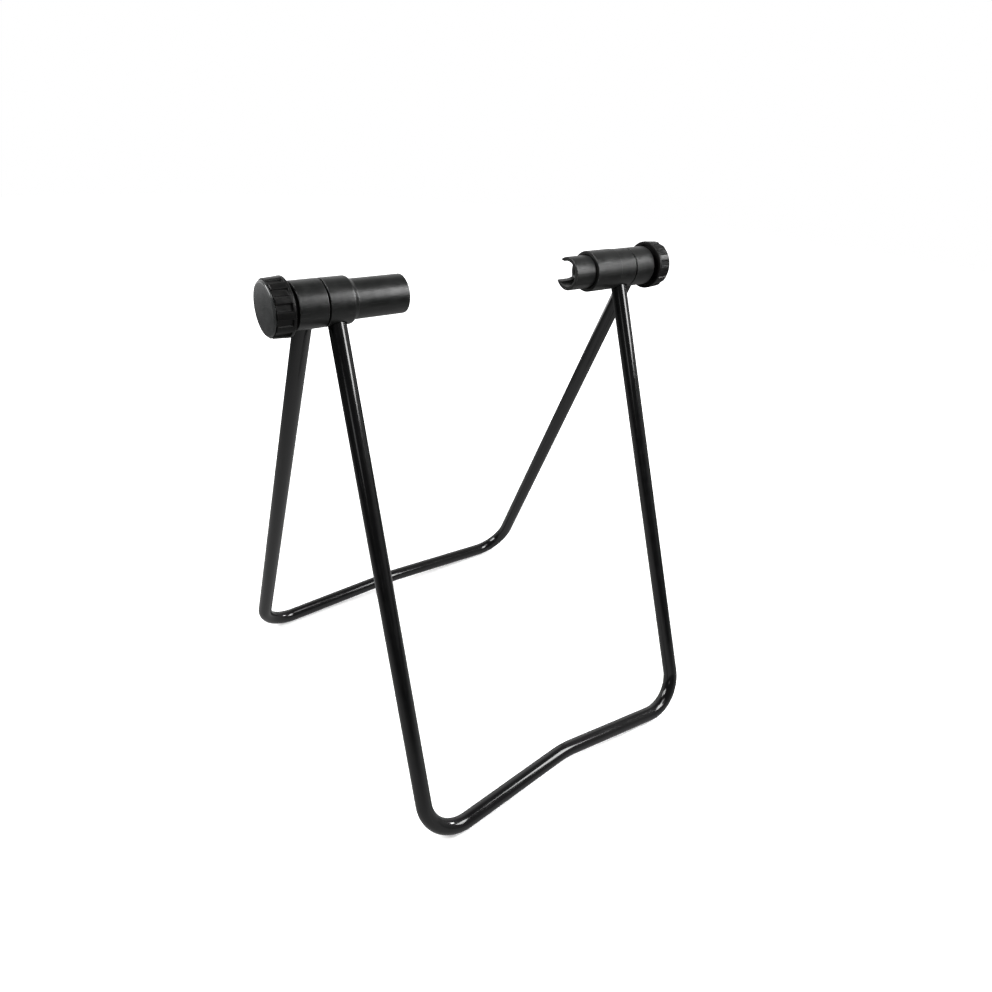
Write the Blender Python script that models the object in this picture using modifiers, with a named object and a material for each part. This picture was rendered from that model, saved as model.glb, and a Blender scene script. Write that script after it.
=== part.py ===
"""Folding stand that holds a bicycle by the two ends of its rear hub.

Two U-shaped frames of bent steel tube hang from a pair of plastic barrels and fold
about the line through both barrels. Metres, +Z up, X along that line, and the front
of the stand faces -Y. The origin is on the floor, midway between the feet.
"""
import math

import bmesh
import bpy
from mathutils import Matrix, Vector

# Frames of bent tube
TUBE_DIAMETER = 0.012
TUBE_WALL = 0.0012
FRAME_REACH = 0.3886          # from the fold line to the lowest tube surface, along a leg
LEG_SPLAY = math.radians(22.1)
FRONT_FOOT_HALF_WIDTH = 0.1300
BACK_FOOT_HALF_WIDTH = 0.1432
FRONT_BAR_RISE = 0.0115       # the bottom bars bend up in the middle
BACK_BAR_RISE = 0.0085
CORNER_BEND_RADIUS = 0.029
BAR_BEND_RADIUS = 0.080
LEG_END_RADIUS = 0.0086       # a leg stops this far short of the fold line

# Barrels, measured along X from the middle of the stand
LEFT_CUP_MOUTH = 0.0739
RIGHT_SLEEVE_MOUTH = 0.0699
GUIDE_MOUTH = 0.0894
FRONT_COLLAR_START = 0.1142
FRONT_COLLAR_WIDTH = 0.0158
BACK_COLLAR_WIDTH = 0.0189
COLLAR_RADIUS = 0.0149
GUIDE_RADIUS = 0.0153
COLLAR_EDGE = 0.0004
PIVOT_WASHER_THICKNESS = 0.0005
PIVOT_WASHER_RADIUS = 0.0104
SPIGOT_RADIUS = 0.0070
SCREW_RADIUS = 0.0040

# Cup and sliding sleeve
CUP_RADIUS = 0.0126
CUP_BORE = 0.0094
CUP_TAPER_LENGTH = 0.0045
CUP_DEPTH = 0.0361
CUP_EDGE = 0.0009
SLEEVE_RADIUS = 0.0124
SLEEVE_LENGTH = 0.0357
SLEEVE_END_WALL = 0.0080
SLEEVE_RETRACT = 0.0070       # travel towards the knob
SLEEVE_EXTEND = 0.0055        # travel towards the wheel
NOTCH_DEPTH = 0.0160
NOTCH_WIDTH = 0.0158
NOTCH_CORNER = 0.0025
NOTCH_TILT = math.radians(7.5)
KEY_WIDTH = 0.0030
KEY_HEIGHT = 0.0013
KEY_LENGTH = 0.0180
KEY_TILT = math.radians(-20.0)  # from straight down, towards the front

# Knobs
KNOB_RADIUS = 0.0183
KNOB_END_RADIUS = 0.0177
KNOB_WIDTH = 0.0116
KNOB_BAND = 0.0019
KNOB_EDGE = 0.0006
KNOB_HUB_RADIUS = 0.0105
KNOB_HUB_LENGTH = 0.0015
KNOB_RECESS = 0.0027
KNOB_RIM_WALL = 0.0025
GROOVE_COUNT = 12
GROOVE_WIDTH = 0.0045
GROOVE_FLOOR = 0.0169
CAP_RADIUS = 0.0167
CAP_RIM_HEIGHT = 0.0004
CAP_DOME_HEIGHT = 0.0018
CAP_ROUNDING = 0.0007
CAP_SHOULDER_ANGLE = math.radians(80.0)
CAP_WALL = 0.0014
CAP_SKIRT_RADIUS = 0.0138
CAP_SKIRT_LENGTH = 0.0026

# Fasteners
NUT_FLATS = 0.0130
NUT_THICKNESS = 0.0060
HEAD_HEIGHT = 0.0048
SCREW_TIP_PAST_NUT = 0.0011
SCREW_TIP_EDGE = 0.0008
THRUST_WASHER_RADIUS = 0.0120
THRUST_WASHER_THICKNESS = 0.0012
RING_THICKNESS = 0.0010
RING_RADIUS = 0.0072
RING_GROOVE_RADIUS = 0.0033
RING_OPENING = math.radians(20.0)
PIN_RADIUS = 0.0012
PIN_SETBACK = 0.0006

# Stop between the two collars of a side
FOLD_RANGE = math.radians(41.5)
STOP_INNER = 0.0110
STOP_OUTER = 0.0135
STOP_ARC = math.radians(40.0)
STOP_DEPTH = 0.0012

# Clearances
REST_GAP = 0.0003             # between pieces that touch
TURN_CLEARANCE = 0.0003       # radial, round a piece that turns or slides
SOCKET_CLEARANCE = 0.0003     # radial, round a tube or pin in its hole
CUT_OVERRUN = 0.0010          # a cutter runs past the face it opens

# Facets
BARREL_STEPS = 36
BORE_STEPS = 24
PIN_STEPS = 12
FOOT_STEPS = 7                # from a leg round to the lowest point of its corner
BAR_BEND_STEPS = 4
TUBE_BEVEL_RESOLUTION = 6
TAPER_STEPS = 4
ARC_STEPS = 3                 # small roundings
DOME_STEPS = 3
SECTOR_STEP = math.radians(10.0)
HEXAGON_SIDES = 6
SHARP_ANGLE = math.radians(32.0)
MERGE_DISTANCE = 0.00001

# Places that follow from the sizes above
TUBE_RADIUS = TUBE_DIAMETER / 2
AXIS_HEIGHT = (FRAME_REACH - TUBE_RADIUS) * math.cos(LEG_SPLAY) + TUBE_RADIUS
FRONT_SEAM_FACE = FRONT_COLLAR_START + FRONT_COLLAR_WIDTH
BACK_SEAM_FACE = FRONT_SEAM_FACE + PIVOT_WASHER_THICKNESS + 2 * REST_GAP
BACK_COLLAR_END = BACK_SEAM_FACE + BACK_COLLAR_WIDTH
FRONT_LEG_X = FRONT_COLLAR_START + FRONT_COLLAR_WIDTH / 2
BACK_LEG_X = BACK_SEAM_FACE + BACK_COLLAR_WIDTH / 2
SPIGOT_END = BACK_COLLAR_END - REST_GAP
SPIGOT_BORE = SCREW_RADIUS + TURN_CLEARANCE
COLLAR_BORE = SPIGOT_RADIUS + TURN_CLEARANCE
GUIDE_BORE = SLEEVE_RADIUS + TURN_CLEARANCE
SLEEVE_BACK = RIGHT_SLEEVE_MOUTH + SLEEVE_LENGTH
GUIDE_FLOOR = SLEEVE_BACK + SLEEVE_RETRACT + 2 * REST_GAP
CUP_FLOOR = LEFT_CUP_MOUTH + CUP_DEPTH
THRUST_WASHER_START = BACK_COLLAR_END + REST_GAP
KNOB_HUB_FACE = THRUST_WASHER_START + THRUST_WASHER_THICKNESS + REST_GAP
KNOB_INNER_END = KNOB_HUB_FACE + KNOB_HUB_LENGTH
KNOB_OUTER_END = KNOB_INNER_END + KNOB_WIDTH
KNOB_WEB_FACE = KNOB_INNER_END + KNOB_RECESS
HEAD_START = KNOB_WEB_FACE + REST_GAP
KNOB_POCKET_FLOOR = HEAD_START + HEAD_HEIGHT + REST_GAP
CAP_START = KNOB_OUTER_END + REST_GAP
LEFT_NUT_START = CUP_FLOOR + REST_GAP
RIGHT_NUT_END = SLEEVE_BACK - REST_GAP
RIGHT_NUT_START = RIGHT_NUT_END - NUT_THICKNESS
RING_START = GUIDE_FLOOR + REST_GAP
RING_RECESS_FLOOR = RING_START + RING_THICKNESS + REST_GAP
PIN_DEPTH = (LEG_END_RADIUS + COLLAR_RADIUS) / 2
STOP_SLACK = REST_GAP / STOP_INNER
STOP_START = math.pi / 2 - STOP_ARC / 2

SIDES = {"left": -1, "right": 1}

BLACK_PAINT = ("black_paint", (0.008, 0.008, 0.009), 0.12, 0.0)
BARREL_PLASTIC = ("barrel_plastic", (0.028, 0.029, 0.029), 0.48, 0.0)
KNOB_PLASTIC = ("knob_plastic", (0.012, 0.012, 0.013), 0.38, 0.0)
CAP_PLASTIC = ("cap_plastic", (0.035, 0.036, 0.036), 0.25, 0.0)
WASHER_NYLON = ("washer_nylon", (0.004, 0.004, 0.004), 0.60, 0.0)
ZINC_STEEL = ("zinc_steel", (0.52, 0.52, 0.50), 0.32, 1.0)


def clear_scene():
    """Remove every object of the open file."""
    for item in list(bpy.data.objects):
        bpy.data.objects.remove(item, do_unlink=True)


def new_collection(name):
    """Make a collection and link it to the scene."""
    collection = bpy.data.collections.new(name)
    bpy.context.scene.collection.children.link(collection)
    return collection


def smoothing_group():
    """Nodes that shade a piece smooth except across its sharp edges."""
    group = bpy.data.node_groups.new("smooth_by_angle", "GeometryNodeTree")
    for direction in ("INPUT", "OUTPUT"):
        group.interface.new_socket("Geometry", in_out=direction,
                                   socket_type="NodeSocketGeometry")
    start = group.nodes.new("NodeGroupInput")
    faces = group.nodes.new("GeometryNodeSetShadeSmooth")
    edges = group.nodes.new("GeometryNodeSetShadeSmooth")
    edges.domain = "EDGE"
    angle = group.nodes.new("GeometryNodeInputMeshEdgeAngle")
    blunt = group.nodes.new("FunctionNodeCompare")
    blunt.operation = "LESS_THAN"
    blunt.inputs["B"].default_value = SHARP_ANGLE
    end = group.nodes.new("NodeGroupOutput")
    group.links.new(start.outputs["Geometry"], faces.inputs["Geometry"])
    group.links.new(faces.outputs["Geometry"], edges.inputs["Geometry"])
    group.links.new(angle.outputs["Unsigned Angle"], blunt.inputs["A"])
    group.links.new(blunt.outputs["Result"], edges.inputs["Shade Smooth"])
    group.links.new(edges.outputs["Geometry"], end.inputs["Geometry"])
    return group


clear_scene()
PARTS = new_collection("bicycle_hub_stand")
CUTTERS = new_collection("cutters")
SMOOTHING = smoothing_group()


def set_material(item, finish):
    """Give a piece its own plain material."""
    suffix, colour, roughness, metallic = finish
    material = bpy.data.materials.new(item.name + "_" + suffix)
    material.use_nodes = True
    shader = material.node_tree.nodes["Principled BSDF"]
    shader.inputs["Base Color"].default_value = (*colour, 1.0)
    shader.inputs["Roughness"].default_value = roughness
    shader.inputs["Metallic"].default_value = metallic
    item.data.materials.append(material)


def new_piece(name, mesh, finish, parent):
    """Link a mesh as a named piece of the stand, under the empty on its body's axis."""
    piece = bpy.data.objects.new(name, mesh)
    PARTS.objects.link(piece)
    piece.parent = parent
    set_material(piece, finish)
    return piece


def new_cutter(name, mesh, matrix):
    """Link a mesh as a hidden cutter at its place in the stand."""
    cutter = bpy.data.objects.new(name, mesh)
    CUTTERS.objects.link(cutter)
    cutter.hide_render = True
    cutter.display_type = "WIRE"
    cutter.matrix_world = matrix
    return cutter


def new_axis(name, parent=None):
    """Empty on the fold line, which carries the pieces that move together."""
    axis = bpy.data.objects.new(name, None)
    axis.empty_display_size = 2 * TUBE_DIAMETER
    PARTS.objects.link(axis)
    if parent is None:
        axis.location.z = AXIS_HEIGHT
    axis.parent = parent
    return axis


def combine(piece, cutter, operation="DIFFERENCE"):
    """Cut a piece with a cutter, or join the two."""
    boolean = piece.modifiers.new(cutter.name, "BOOLEAN")
    boolean.operation = operation
    boolean.object = cutter
    boolean.solver = "EXACT"


def barrel_turn(side):
    """Rotation that lays a turned piece's Z along the barrel, away from the wheel."""
    return Matrix.Rotation(SIDES[side] * math.pi / 2, 4, "Y")


def fold_line_matrix(turn):
    """Place of a cutter on the fold line, turned as given."""
    return Matrix.Translation((0.0, 0.0, AXIS_HEIGHT)) @ turn


def profile_mesh(name, profile):
    """Profile of (radius, height) pairs, closed unless both of its ends lie on the axis."""
    open_ended = profile[0][0] == 0.0 and profile[-1][0] == 0.0
    points = [(radius, 0.0, height) for radius, height in profile]
    edges = [(i, i + 1) for i in range(len(points) - 1)]
    if not open_ended:
        edges.append((len(points) - 1, 0))
    mesh = bpy.data.meshes.new(name)
    mesh.from_pydata(points, edges, [])
    return mesh


def turned_piece(name, side, profile, finish, parent, steps=BARREL_STEPS):
    """Turned piece of one barrel; heights are measured from the middle of the stand."""
    piece = new_piece(name, profile_mesh(name, profile), finish, parent)
    piece.rotation_euler = barrel_turn(side).to_euler()
    screw = piece.modifiers.new("turn", "SCREW")
    screw.axis = "Z"
    screw.steps = steps
    screw.render_steps = steps
    screw.use_merge_vertices = True
    screw.merge_threshold = MERGE_DISTANCE
    return piece


def arc(centre, radius, start, end, steps):
    """Points on an arc, from one angle to the other, both in radians."""
    return [(centre[0] + radius * math.cos(start + (end - start) * i / steps),
             centre[1] + radius * math.sin(start + (end - start) * i / steps))
            for i in range(steps + 1)]


def new_curve(name, dimensions, points, cyclic):
    """Guide curve through (x, y) points, straight from each to the next."""
    curve = bpy.data.curves.new(name, "CURVE")
    curve.dimensions = dimensions
    spline = curve.splines.new("POLY")
    spline.points.add(len(points) - 1)
    for target, (x, y) in zip(spline.points, points):
        target.co = (x, y, 0.0, 1.0)
    spline.use_cyclic_u = cyclic
    return curve


def curve_mesh(name, curve):
    """Mesh of a curve as Blender fills or bevels it, with its seams welded."""
    guide = bpy.data.objects.new(name + "_guide", curve)
    CUTTERS.objects.link(guide)
    evaluated = guide.evaluated_get(bpy.context.evaluated_depsgraph_get())
    mesh = bpy.data.meshes.new_from_object(evaluated)
    mesh.name = name
    bpy.data.curves.remove(curve)
    shape = bmesh.new()
    shape.from_mesh(mesh)
    bmesh.ops.remove_doubles(shape, verts=shape.verts, dist=MERGE_DISTANCE)
    shape.to_mesh(mesh)
    shape.free()
    return mesh


def outline_mesh(name, points, low, high):
    """Flat outline in XY, filled and extruded from one height to the other."""
    curve = new_curve(name, "2D", points, cyclic=True)
    curve.fill_mode = "BOTH"
    curve.extrude = (high - low) / 2
    mesh = curve_mesh(name, curve)
    mesh.transform(Matrix.Translation((0.0, 0.0, (low + high) / 2)))
    return mesh


def sector(inner, outer, start, end):
    """Outline of a piece of a ring."""
    steps = math.ceil((end - start) / SECTOR_STEP)
    return (arc((0.0, 0.0), outer, start, end, steps)
            + arc((0.0, 0.0), inner, end, start, steps))


def rod_mesh(name, radius, start, end, sides=BORE_STEPS):
    """Straight rod along Z, round or with few sides."""
    shape = bmesh.new()
    middle = Matrix.Translation((0.0, 0.0, (start + end) / 2))
    bmesh.ops.create_cone(shape, cap_ends=True, segments=sides, radius1=radius,
                          radius2=radius, depth=end - start, matrix=middle)
    mesh = bpy.data.meshes.new(name)
    shape.to_mesh(mesh)
    shape.free()
    return mesh


def hexagon_mesh(name, flats, start, end):
    """Six-sided rod along Z, by its width across flats, with a flat towards the leg."""
    mesh = rod_mesh(name, flats / math.sqrt(3), start, end, sides=HEXAGON_SIDES)
    mesh.transform(Matrix.Rotation(math.pi / HEXAGON_SIDES, 4, "Z"))
    return mesh


class Frame:
    """One U of bent tube: where its legs, corners and bottom bar lie in its own plane."""

    def __init__(self, name, toward, leg_x, foot_half_width, bar_rise):
        self.name = name
        self.toward = toward
        self.leg_x = leg_x
        self.lowest = FRAME_REACH - TUBE_RADIUS
        self.spread = (foot_half_width - leg_x) / self.lowest
        self.bar_slope = bar_rise / (foot_half_width - CORNER_BEND_RADIUS)

    def leg_point(self, side, depth):
        """Point of a leg's centre line, at a depth below the fold line in the frame's plane."""
        return Vector((SIDES[side] * (self.leg_x + self.spread * depth),
                       self.toward * depth * math.sin(LEG_SPLAY),
                       AXIS_HEIGHT - depth * math.cos(LEG_SPLAY)))

    def leg_matrix(self, side, depth):
        """Place on a leg's centre line, with Z down the leg."""
        start = self.leg_point(side, depth)
        down = self.leg_point(side, depth + self.lowest) - start
        return Matrix.Translation(start) @ down.to_track_quat("Z", "Y").to_matrix().to_4x4()

    def right_half(self):
        """Centre line from the right leg's end to the bar's middle, with Y up the leg."""
        leg_lean = math.atan(self.spread)
        bar_lean = math.atan(self.bar_slope)
        # The corner's centre lies one bend radius inside the leg and above the lowest point.
        centre_y = CORNER_BEND_RADIUS - self.lowest
        centre_x = self.leg_x - self.spread * centre_y - CORNER_BEND_RADIUS / math.cos(leg_lean)
        centre = (centre_x, centre_y)
        down = -math.pi / 2
        corner = arc(centre, CORNER_BEND_RADIUS, -leg_lean, down, FOOT_STEPS)
        corner += arc(centre, CORNER_BEND_RADIUS, down, down - bar_lean, 1)[1:]
        # The bar's middle is an arc that the straight run meets at its end.
        bar_x, bar_y = corner[-1]
        bend_x = BAR_BEND_RADIUS * math.sin(bar_lean)
        bend_y = bar_y + (bar_x - bend_x) * self.bar_slope
        bend_centre = (0.0, bend_y - BAR_BEND_RADIUS * math.cos(bar_lean))
        crest = arc(bend_centre, BAR_BEND_RADIUS, math.pi / 2 - bar_lean, math.pi / 2,
                    BAR_BEND_STEPS // 2)
        start = (self.leg_x + self.spread * LEG_END_RADIUS, -LEG_END_RADIUS)
        return [start] + corner + crest

    def route(self):
        """Centre line of the whole tube in the frame's plane."""
        half = self.right_half()
        return half + [(-x, y) for x, y in reversed(half[:-1])]


FRONT = Frame("front", -1, FRONT_LEG_X, FRONT_FOOT_HALF_WIDTH, FRONT_BAR_RISE)
BACK = Frame("back", 1, BACK_LEG_X, BACK_FOOT_HALF_WIDTH, BACK_BAR_RISE)


def bent_tube(frame, parent):
    """Hollow tube of one U, made from a curve with a round bevel and a wall."""
    name = frame.name + "_frame"
    curve = new_curve(name, "3D", frame.route(), cyclic=False)
    curve.twist_mode = "Z_UP"
    curve.bevel_depth = TUBE_RADIUS
    curve.bevel_resolution = TUBE_BEVEL_RESOLUTION
    piece = new_piece(name, curve_mesh(name, curve), BLACK_PAINT, parent)
    piece.rotation_euler.x = math.pi / 2 + frame.toward * LEG_SPLAY
    wall = piece.modifiers.new("wall", "SOLIDIFY")
    wall.thickness = TUBE_WALL
    wall.offset = -1.0
    for side in SIDES:
        combine(piece, pin_hole(frame, side))
    return piece


def leg_socket(frame, side):
    """Cutter for the hole that takes a leg's end in its collar."""
    name = f"{frame.name}_{side}_socket"
    mesh = rod_mesh(name, TUBE_RADIUS + SOCKET_CLEARANCE, -REST_GAP, 2 * GUIDE_RADIUS)
    return new_cutter(name, mesh, frame.leg_matrix(side, LEG_END_RADIUS))


def pin_span(frame):
    """Where a leg pin starts, at the seam, and how far it reaches, both along the barrel."""
    if frame is FRONT:
        return FRONT_SEAM_FACE, FRONT_COLLAR_START + PIN_SETBACK
    return BACK_SEAM_FACE, BACK_COLLAR_END - 2 * PIN_SETBACK


def pin_place(frame, side):
    """Frame on a leg pin's line, with Z along the barrel away from the wheel."""
    point = frame.leg_point(side, PIN_DEPTH)
    return Matrix.Translation((0.0, point.y, point.z)) @ barrel_turn(side)


def pin_hole(frame, side):
    """Cutter for a leg pin's blind hole, open at the seam, shared by leg and collar."""
    name = f"{frame.name}_{side}_pin_hole"
    if name in bpy.data.objects:
        return bpy.data.objects[name]
    opening, bottom = pin_span(frame)
    overrun = math.copysign(CUT_OVERRUN, opening - bottom)
    mesh = rod_mesh(name, PIN_RADIUS + SOCKET_CLEARANCE, *sorted((opening + overrun, bottom)),
                    sides=PIN_STEPS)
    return new_cutter(name, mesh, pin_place(frame, side))


def leg_pin(frame, side, parent):
    """Cross pin through a collar and the leg's end."""
    name = f"{frame.name}_{side}_leg_pin"
    opening, bottom = pin_span(frame)
    inward = math.copysign(1.0, bottom - opening)
    ends = sorted((opening + inward * PIN_SETBACK, bottom - inward * REST_GAP))
    mesh = rod_mesh(name, PIN_RADIUS, *ends, sides=PIN_STEPS)
    piece = new_piece(name, mesh, ZINC_STEEL, parent)
    place = pin_place(frame, side)
    piece.location = place.translation - Vector((0.0, 0.0, AXIS_HEIGHT))
    piece.rotation_euler = place.to_euler()
    return piece


def side_on(name, side, points, low, high):
    """Cutter from an outline seen along +X, its X towards +Y and its Y upwards."""
    mesh = outline_mesh(name, points, *sorted((SIDES[side] * low, SIDES[side] * high)))
    seen_along_x = Matrix(((0, 0, 1, 0), (1, 0, 0, 0), (0, 1, 0, 0), (0, 0, 0, 1)))
    return new_cutter(name, mesh, fold_line_matrix(seen_along_x))


def stop_lug(side):
    """Lug on the front collar's seam face that runs in the back collar's slot."""
    points = sector(STOP_INNER, STOP_OUTER, STOP_START, STOP_START + STOP_ARC)
    return side_on(side + "_stop_lug", side, points, FRONT_SEAM_FACE - STOP_DEPTH,
                   BACK_SEAM_FACE + STOP_DEPTH - REST_GAP)


def stop_slot(side):
    """Slot whose two ends stop the lug with the stand open and with it folded."""
    points = sector(STOP_INNER - REST_GAP, STOP_OUTER + REST_GAP, STOP_START - STOP_SLACK,
                    STOP_START + STOP_ARC + FOLD_RANGE + STOP_SLACK)
    return side_on(side + "_stop_slot", side, points, BACK_SEAM_FACE - CUT_OVERRUN,
                   BACK_SEAM_FACE + STOP_DEPTH)


def hexagon_cutter(name, side, low, high):
    """Cutter for a nut's or screw head's pocket."""
    mesh = hexagon_mesh(name, NUT_FLATS + 2 * REST_GAP, low, high)
    return new_cutter(name, mesh, fold_line_matrix(barrel_turn(side)))


def seam_profile(collar_radius):
    """Top of a front moulding's profile: spigot, seam face and the collar's outer edge."""
    return [(SPIGOT_RADIUS - COLLAR_EDGE, SPIGOT_END),
            (SPIGOT_RADIUS, SPIGOT_END - COLLAR_EDGE),
            (SPIGOT_RADIUS, FRONT_SEAM_FACE),
            (collar_radius - COLLAR_EDGE, FRONT_SEAM_FACE),
            (collar_radius, FRONT_SEAM_FACE - COLLAR_EDGE)]


def left_front_cup(parent):
    """Front left collar, with the tapered tube that takes the plain end of the hub."""
    step = COLLAR_RADIUS - CUP_RADIUS
    profile = seam_profile(COLLAR_RADIUS)
    for i in range(TAPER_STEPS + 1):
        share = i / TAPER_STEPS
        profile.append((CUP_RADIUS + step * (1 + math.cos(math.pi * share)) / 2,
                        FRONT_COLLAR_START - CUP_TAPER_LENGTH * share))
    profile += arc((CUP_RADIUS - CUP_EDGE, LEFT_CUP_MOUTH + CUP_EDGE), CUP_EDGE,
                   0.0, -math.pi / 2, ARC_STEPS)
    profile += [(CUP_BORE + COLLAR_EDGE, LEFT_CUP_MOUTH),
                (CUP_BORE, LEFT_CUP_MOUTH + COLLAR_EDGE),
                (CUP_BORE, CUP_FLOOR),
                (SPIGOT_BORE, CUP_FLOOR),
                (SPIGOT_BORE, SPIGOT_END)]
    cup = turned_piece("left_front_cup", "left", profile, BARREL_PLASTIC, parent)
    combine(cup, stop_lug("left"), "UNION")
    combine(cup, leg_socket(FRONT, "left"))
    combine(cup, pin_hole(FRONT, "left"))
    combine(cup, hexagon_cutter("left_nut_pocket", "left", CUP_FLOOR - CUT_OVERRUN,
                                LEFT_NUT_START + NUT_THICKNESS + REST_GAP))
    return cup


def right_front_collar(parent):
    """Front right collar, with the guide housing of the sliding sleeve."""
    profile = seam_profile(COLLAR_RADIUS)
    profile += [(COLLAR_RADIUS, FRONT_COLLAR_START),
                (GUIDE_RADIUS, FRONT_COLLAR_START - COLLAR_EDGE),
                (GUIDE_RADIUS, GUIDE_MOUTH + COLLAR_EDGE),
                (GUIDE_RADIUS - COLLAR_EDGE, GUIDE_MOUTH),
                (GUIDE_BORE + COLLAR_EDGE, GUIDE_MOUTH),
                (GUIDE_BORE, GUIDE_MOUTH + COLLAR_EDGE),
                (GUIDE_BORE, GUIDE_FLOOR),
                (RING_RADIUS + 2 * REST_GAP, GUIDE_FLOOR),
                (RING_RADIUS + 2 * REST_GAP, RING_RECESS_FLOOR),
                (SPIGOT_BORE, RING_RECESS_FLOOR),
                (SPIGOT_BORE, SPIGOT_END)]
    collar = turned_piece("right_front_collar", "right", profile, BARREL_PLASTIC, parent)
    combine(collar, stop_lug("right"), "UNION")
    key = key_block("guide_key", KEY_WIDTH, GUIDE_BORE - KEY_HEIGHT, GUIDE_BORE + CUT_OVERRUN,
                    GUIDE_FLOOR - KEY_LENGTH, GUIDE_FLOOR + REST_GAP)
    combine(collar, key, "UNION")
    combine(collar, leg_socket(FRONT, "right"))
    combine(collar, pin_hole(FRONT, "right"))
    return collar


def block_matrix(size, centre):
    """Scale and place that turn a unit cube into a block."""
    return Matrix.Translation(centre) @ Matrix.Diagonal((*size, 1.0))


def key_block(name, width, inner, outer, low, high):
    """Straight key of the guide, or the cutter of its keyway, on the barrel's underside."""
    shape = bmesh.new()
    size = (high - low, width, outer - inner)
    centre = ((low + high) / 2, 0.0, -(inner + outer) / 2)
    bmesh.ops.create_cube(shape, size=1.0, matrix=block_matrix(size, centre))
    mesh = bpy.data.meshes.new(name)
    shape.to_mesh(mesh)
    shape.free()
    return new_cutter(name, mesh, fold_line_matrix(Matrix.Rotation(KEY_TILT, 4, "X")))


def back_collar(side, parent):
    """Collar that holds a back leg and turns on the front moulding's spigot."""
    radius = COLLAR_RADIUS
    profile = [(radius - COLLAR_EDGE, BACK_COLLAR_END),
               (radius, BACK_COLLAR_END - COLLAR_EDGE),
               (radius, BACK_SEAM_FACE + COLLAR_EDGE),
               (radius - COLLAR_EDGE, BACK_SEAM_FACE),
               (COLLAR_BORE, BACK_SEAM_FACE),
               (COLLAR_BORE, BACK_COLLAR_END)]
    collar = turned_piece(side + "_back_collar", side, profile, BARREL_PLASTIC, parent)
    combine(collar, stop_slot(side))
    combine(collar, leg_socket(BACK, side))
    combine(collar, pin_hole(BACK, side))
    return collar


def notch_cutter():
    """Rounded slot through the sleeve's back wall, for a quick-release lever."""
    start = RIGHT_SLEEVE_MOUTH - CUT_OVERRUN
    centre_x = RIGHT_SLEEVE_MOUTH + NOTCH_DEPTH - NOTCH_CORNER
    centre_y = NOTCH_WIDTH / 2 - NOTCH_CORNER
    outline = [(start, -NOTCH_WIDTH / 2)]
    outline += arc((centre_x, -centre_y), NOTCH_CORNER, -math.pi / 2, 0.0, ARC_STEPS)
    outline += arc((centre_x, centre_y), NOTCH_CORNER, 0.0, math.pi / 2, ARC_STEPS)
    outline.append((start, NOTCH_WIDTH / 2))
    mesh = outline_mesh("sleeve_notch", outline, 0.0, SLEEVE_RADIUS + CUT_OVERRUN)
    # The extrusion turns from +Z to +Y and then up by the notch's tilt.
    turn = Matrix.Rotation(NOTCH_TILT - math.pi / 2, 4, "X")
    return new_cutter("sleeve_notch", mesh, fold_line_matrix(turn))


def slotted_sleeve(parent):
    """Sliding cup for the lever end of the hub, keyed in the guide."""
    profile = [(SLEEVE_RADIUS - COLLAR_EDGE, SLEEVE_BACK),
               (SLEEVE_RADIUS, SLEEVE_BACK - COLLAR_EDGE)]
    profile += arc((SLEEVE_RADIUS - CUP_EDGE, RIGHT_SLEEVE_MOUTH + CUP_EDGE), CUP_EDGE,
                   0.0, -math.pi / 2, ARC_STEPS)
    profile += [(CUP_BORE + COLLAR_EDGE, RIGHT_SLEEVE_MOUTH),
                (CUP_BORE, RIGHT_SLEEVE_MOUTH + COLLAR_EDGE),
                (CUP_BORE, SLEEVE_BACK - SLEEVE_END_WALL),
                (SPIGOT_BORE, SLEEVE_BACK - SLEEVE_END_WALL),
                (SPIGOT_BORE, SLEEVE_BACK)]
    sleeve = turned_piece("right_slotted_sleeve", "right", profile, BARREL_PLASTIC, parent)
    combine(sleeve, notch_cutter())
    keyway = key_block("sleeve_keyway", KEY_WIDTH + 2 * TURN_CLEARANCE,
                       GUIDE_BORE - KEY_HEIGHT - TURN_CLEARANCE, SLEEVE_RADIUS + CUT_OVERRUN,
                       GUIDE_FLOOR - KEY_LENGTH - SLEEVE_RETRACT - REST_GAP,
                       SLEEVE_BACK + CUT_OVERRUN)
    combine(sleeve, keyway)
    combine(sleeve, hexagon_cutter("right_nut_pocket", "right", RIGHT_NUT_START - REST_GAP,
                                   SLEEVE_BACK + CUT_OVERRUN))
    return sleeve


def groove_cutters(side):
    """Ring of straight grooves round a knob, open at its outer end."""
    shape = bmesh.new()
    depth = KNOB_RADIUS - GROOVE_FLOOR + CUT_OVERRUN
    low = KNOB_INNER_END + KNOB_BAND
    length = KNOB_OUTER_END - low + CUT_OVERRUN
    block = block_matrix((depth, GROOVE_WIDTH, length),
                         (GROOVE_FLOOR + depth / 2, 0.0, low + length / 2))
    for i in range(GROOVE_COUNT):
        turn = Matrix.Rotation(2 * math.pi * (i + 0.5) / GROOVE_COUNT, 4, "Z")
        bmesh.ops.create_cube(shape, size=1.0, matrix=turn @ block)
    mesh = bpy.data.meshes.new(side + "_knob_grooves")
    shape.to_mesh(mesh)
    shape.free()
    return new_cutter(side + "_knob_grooves", mesh, fold_line_matrix(barrel_turn(side)))


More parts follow.
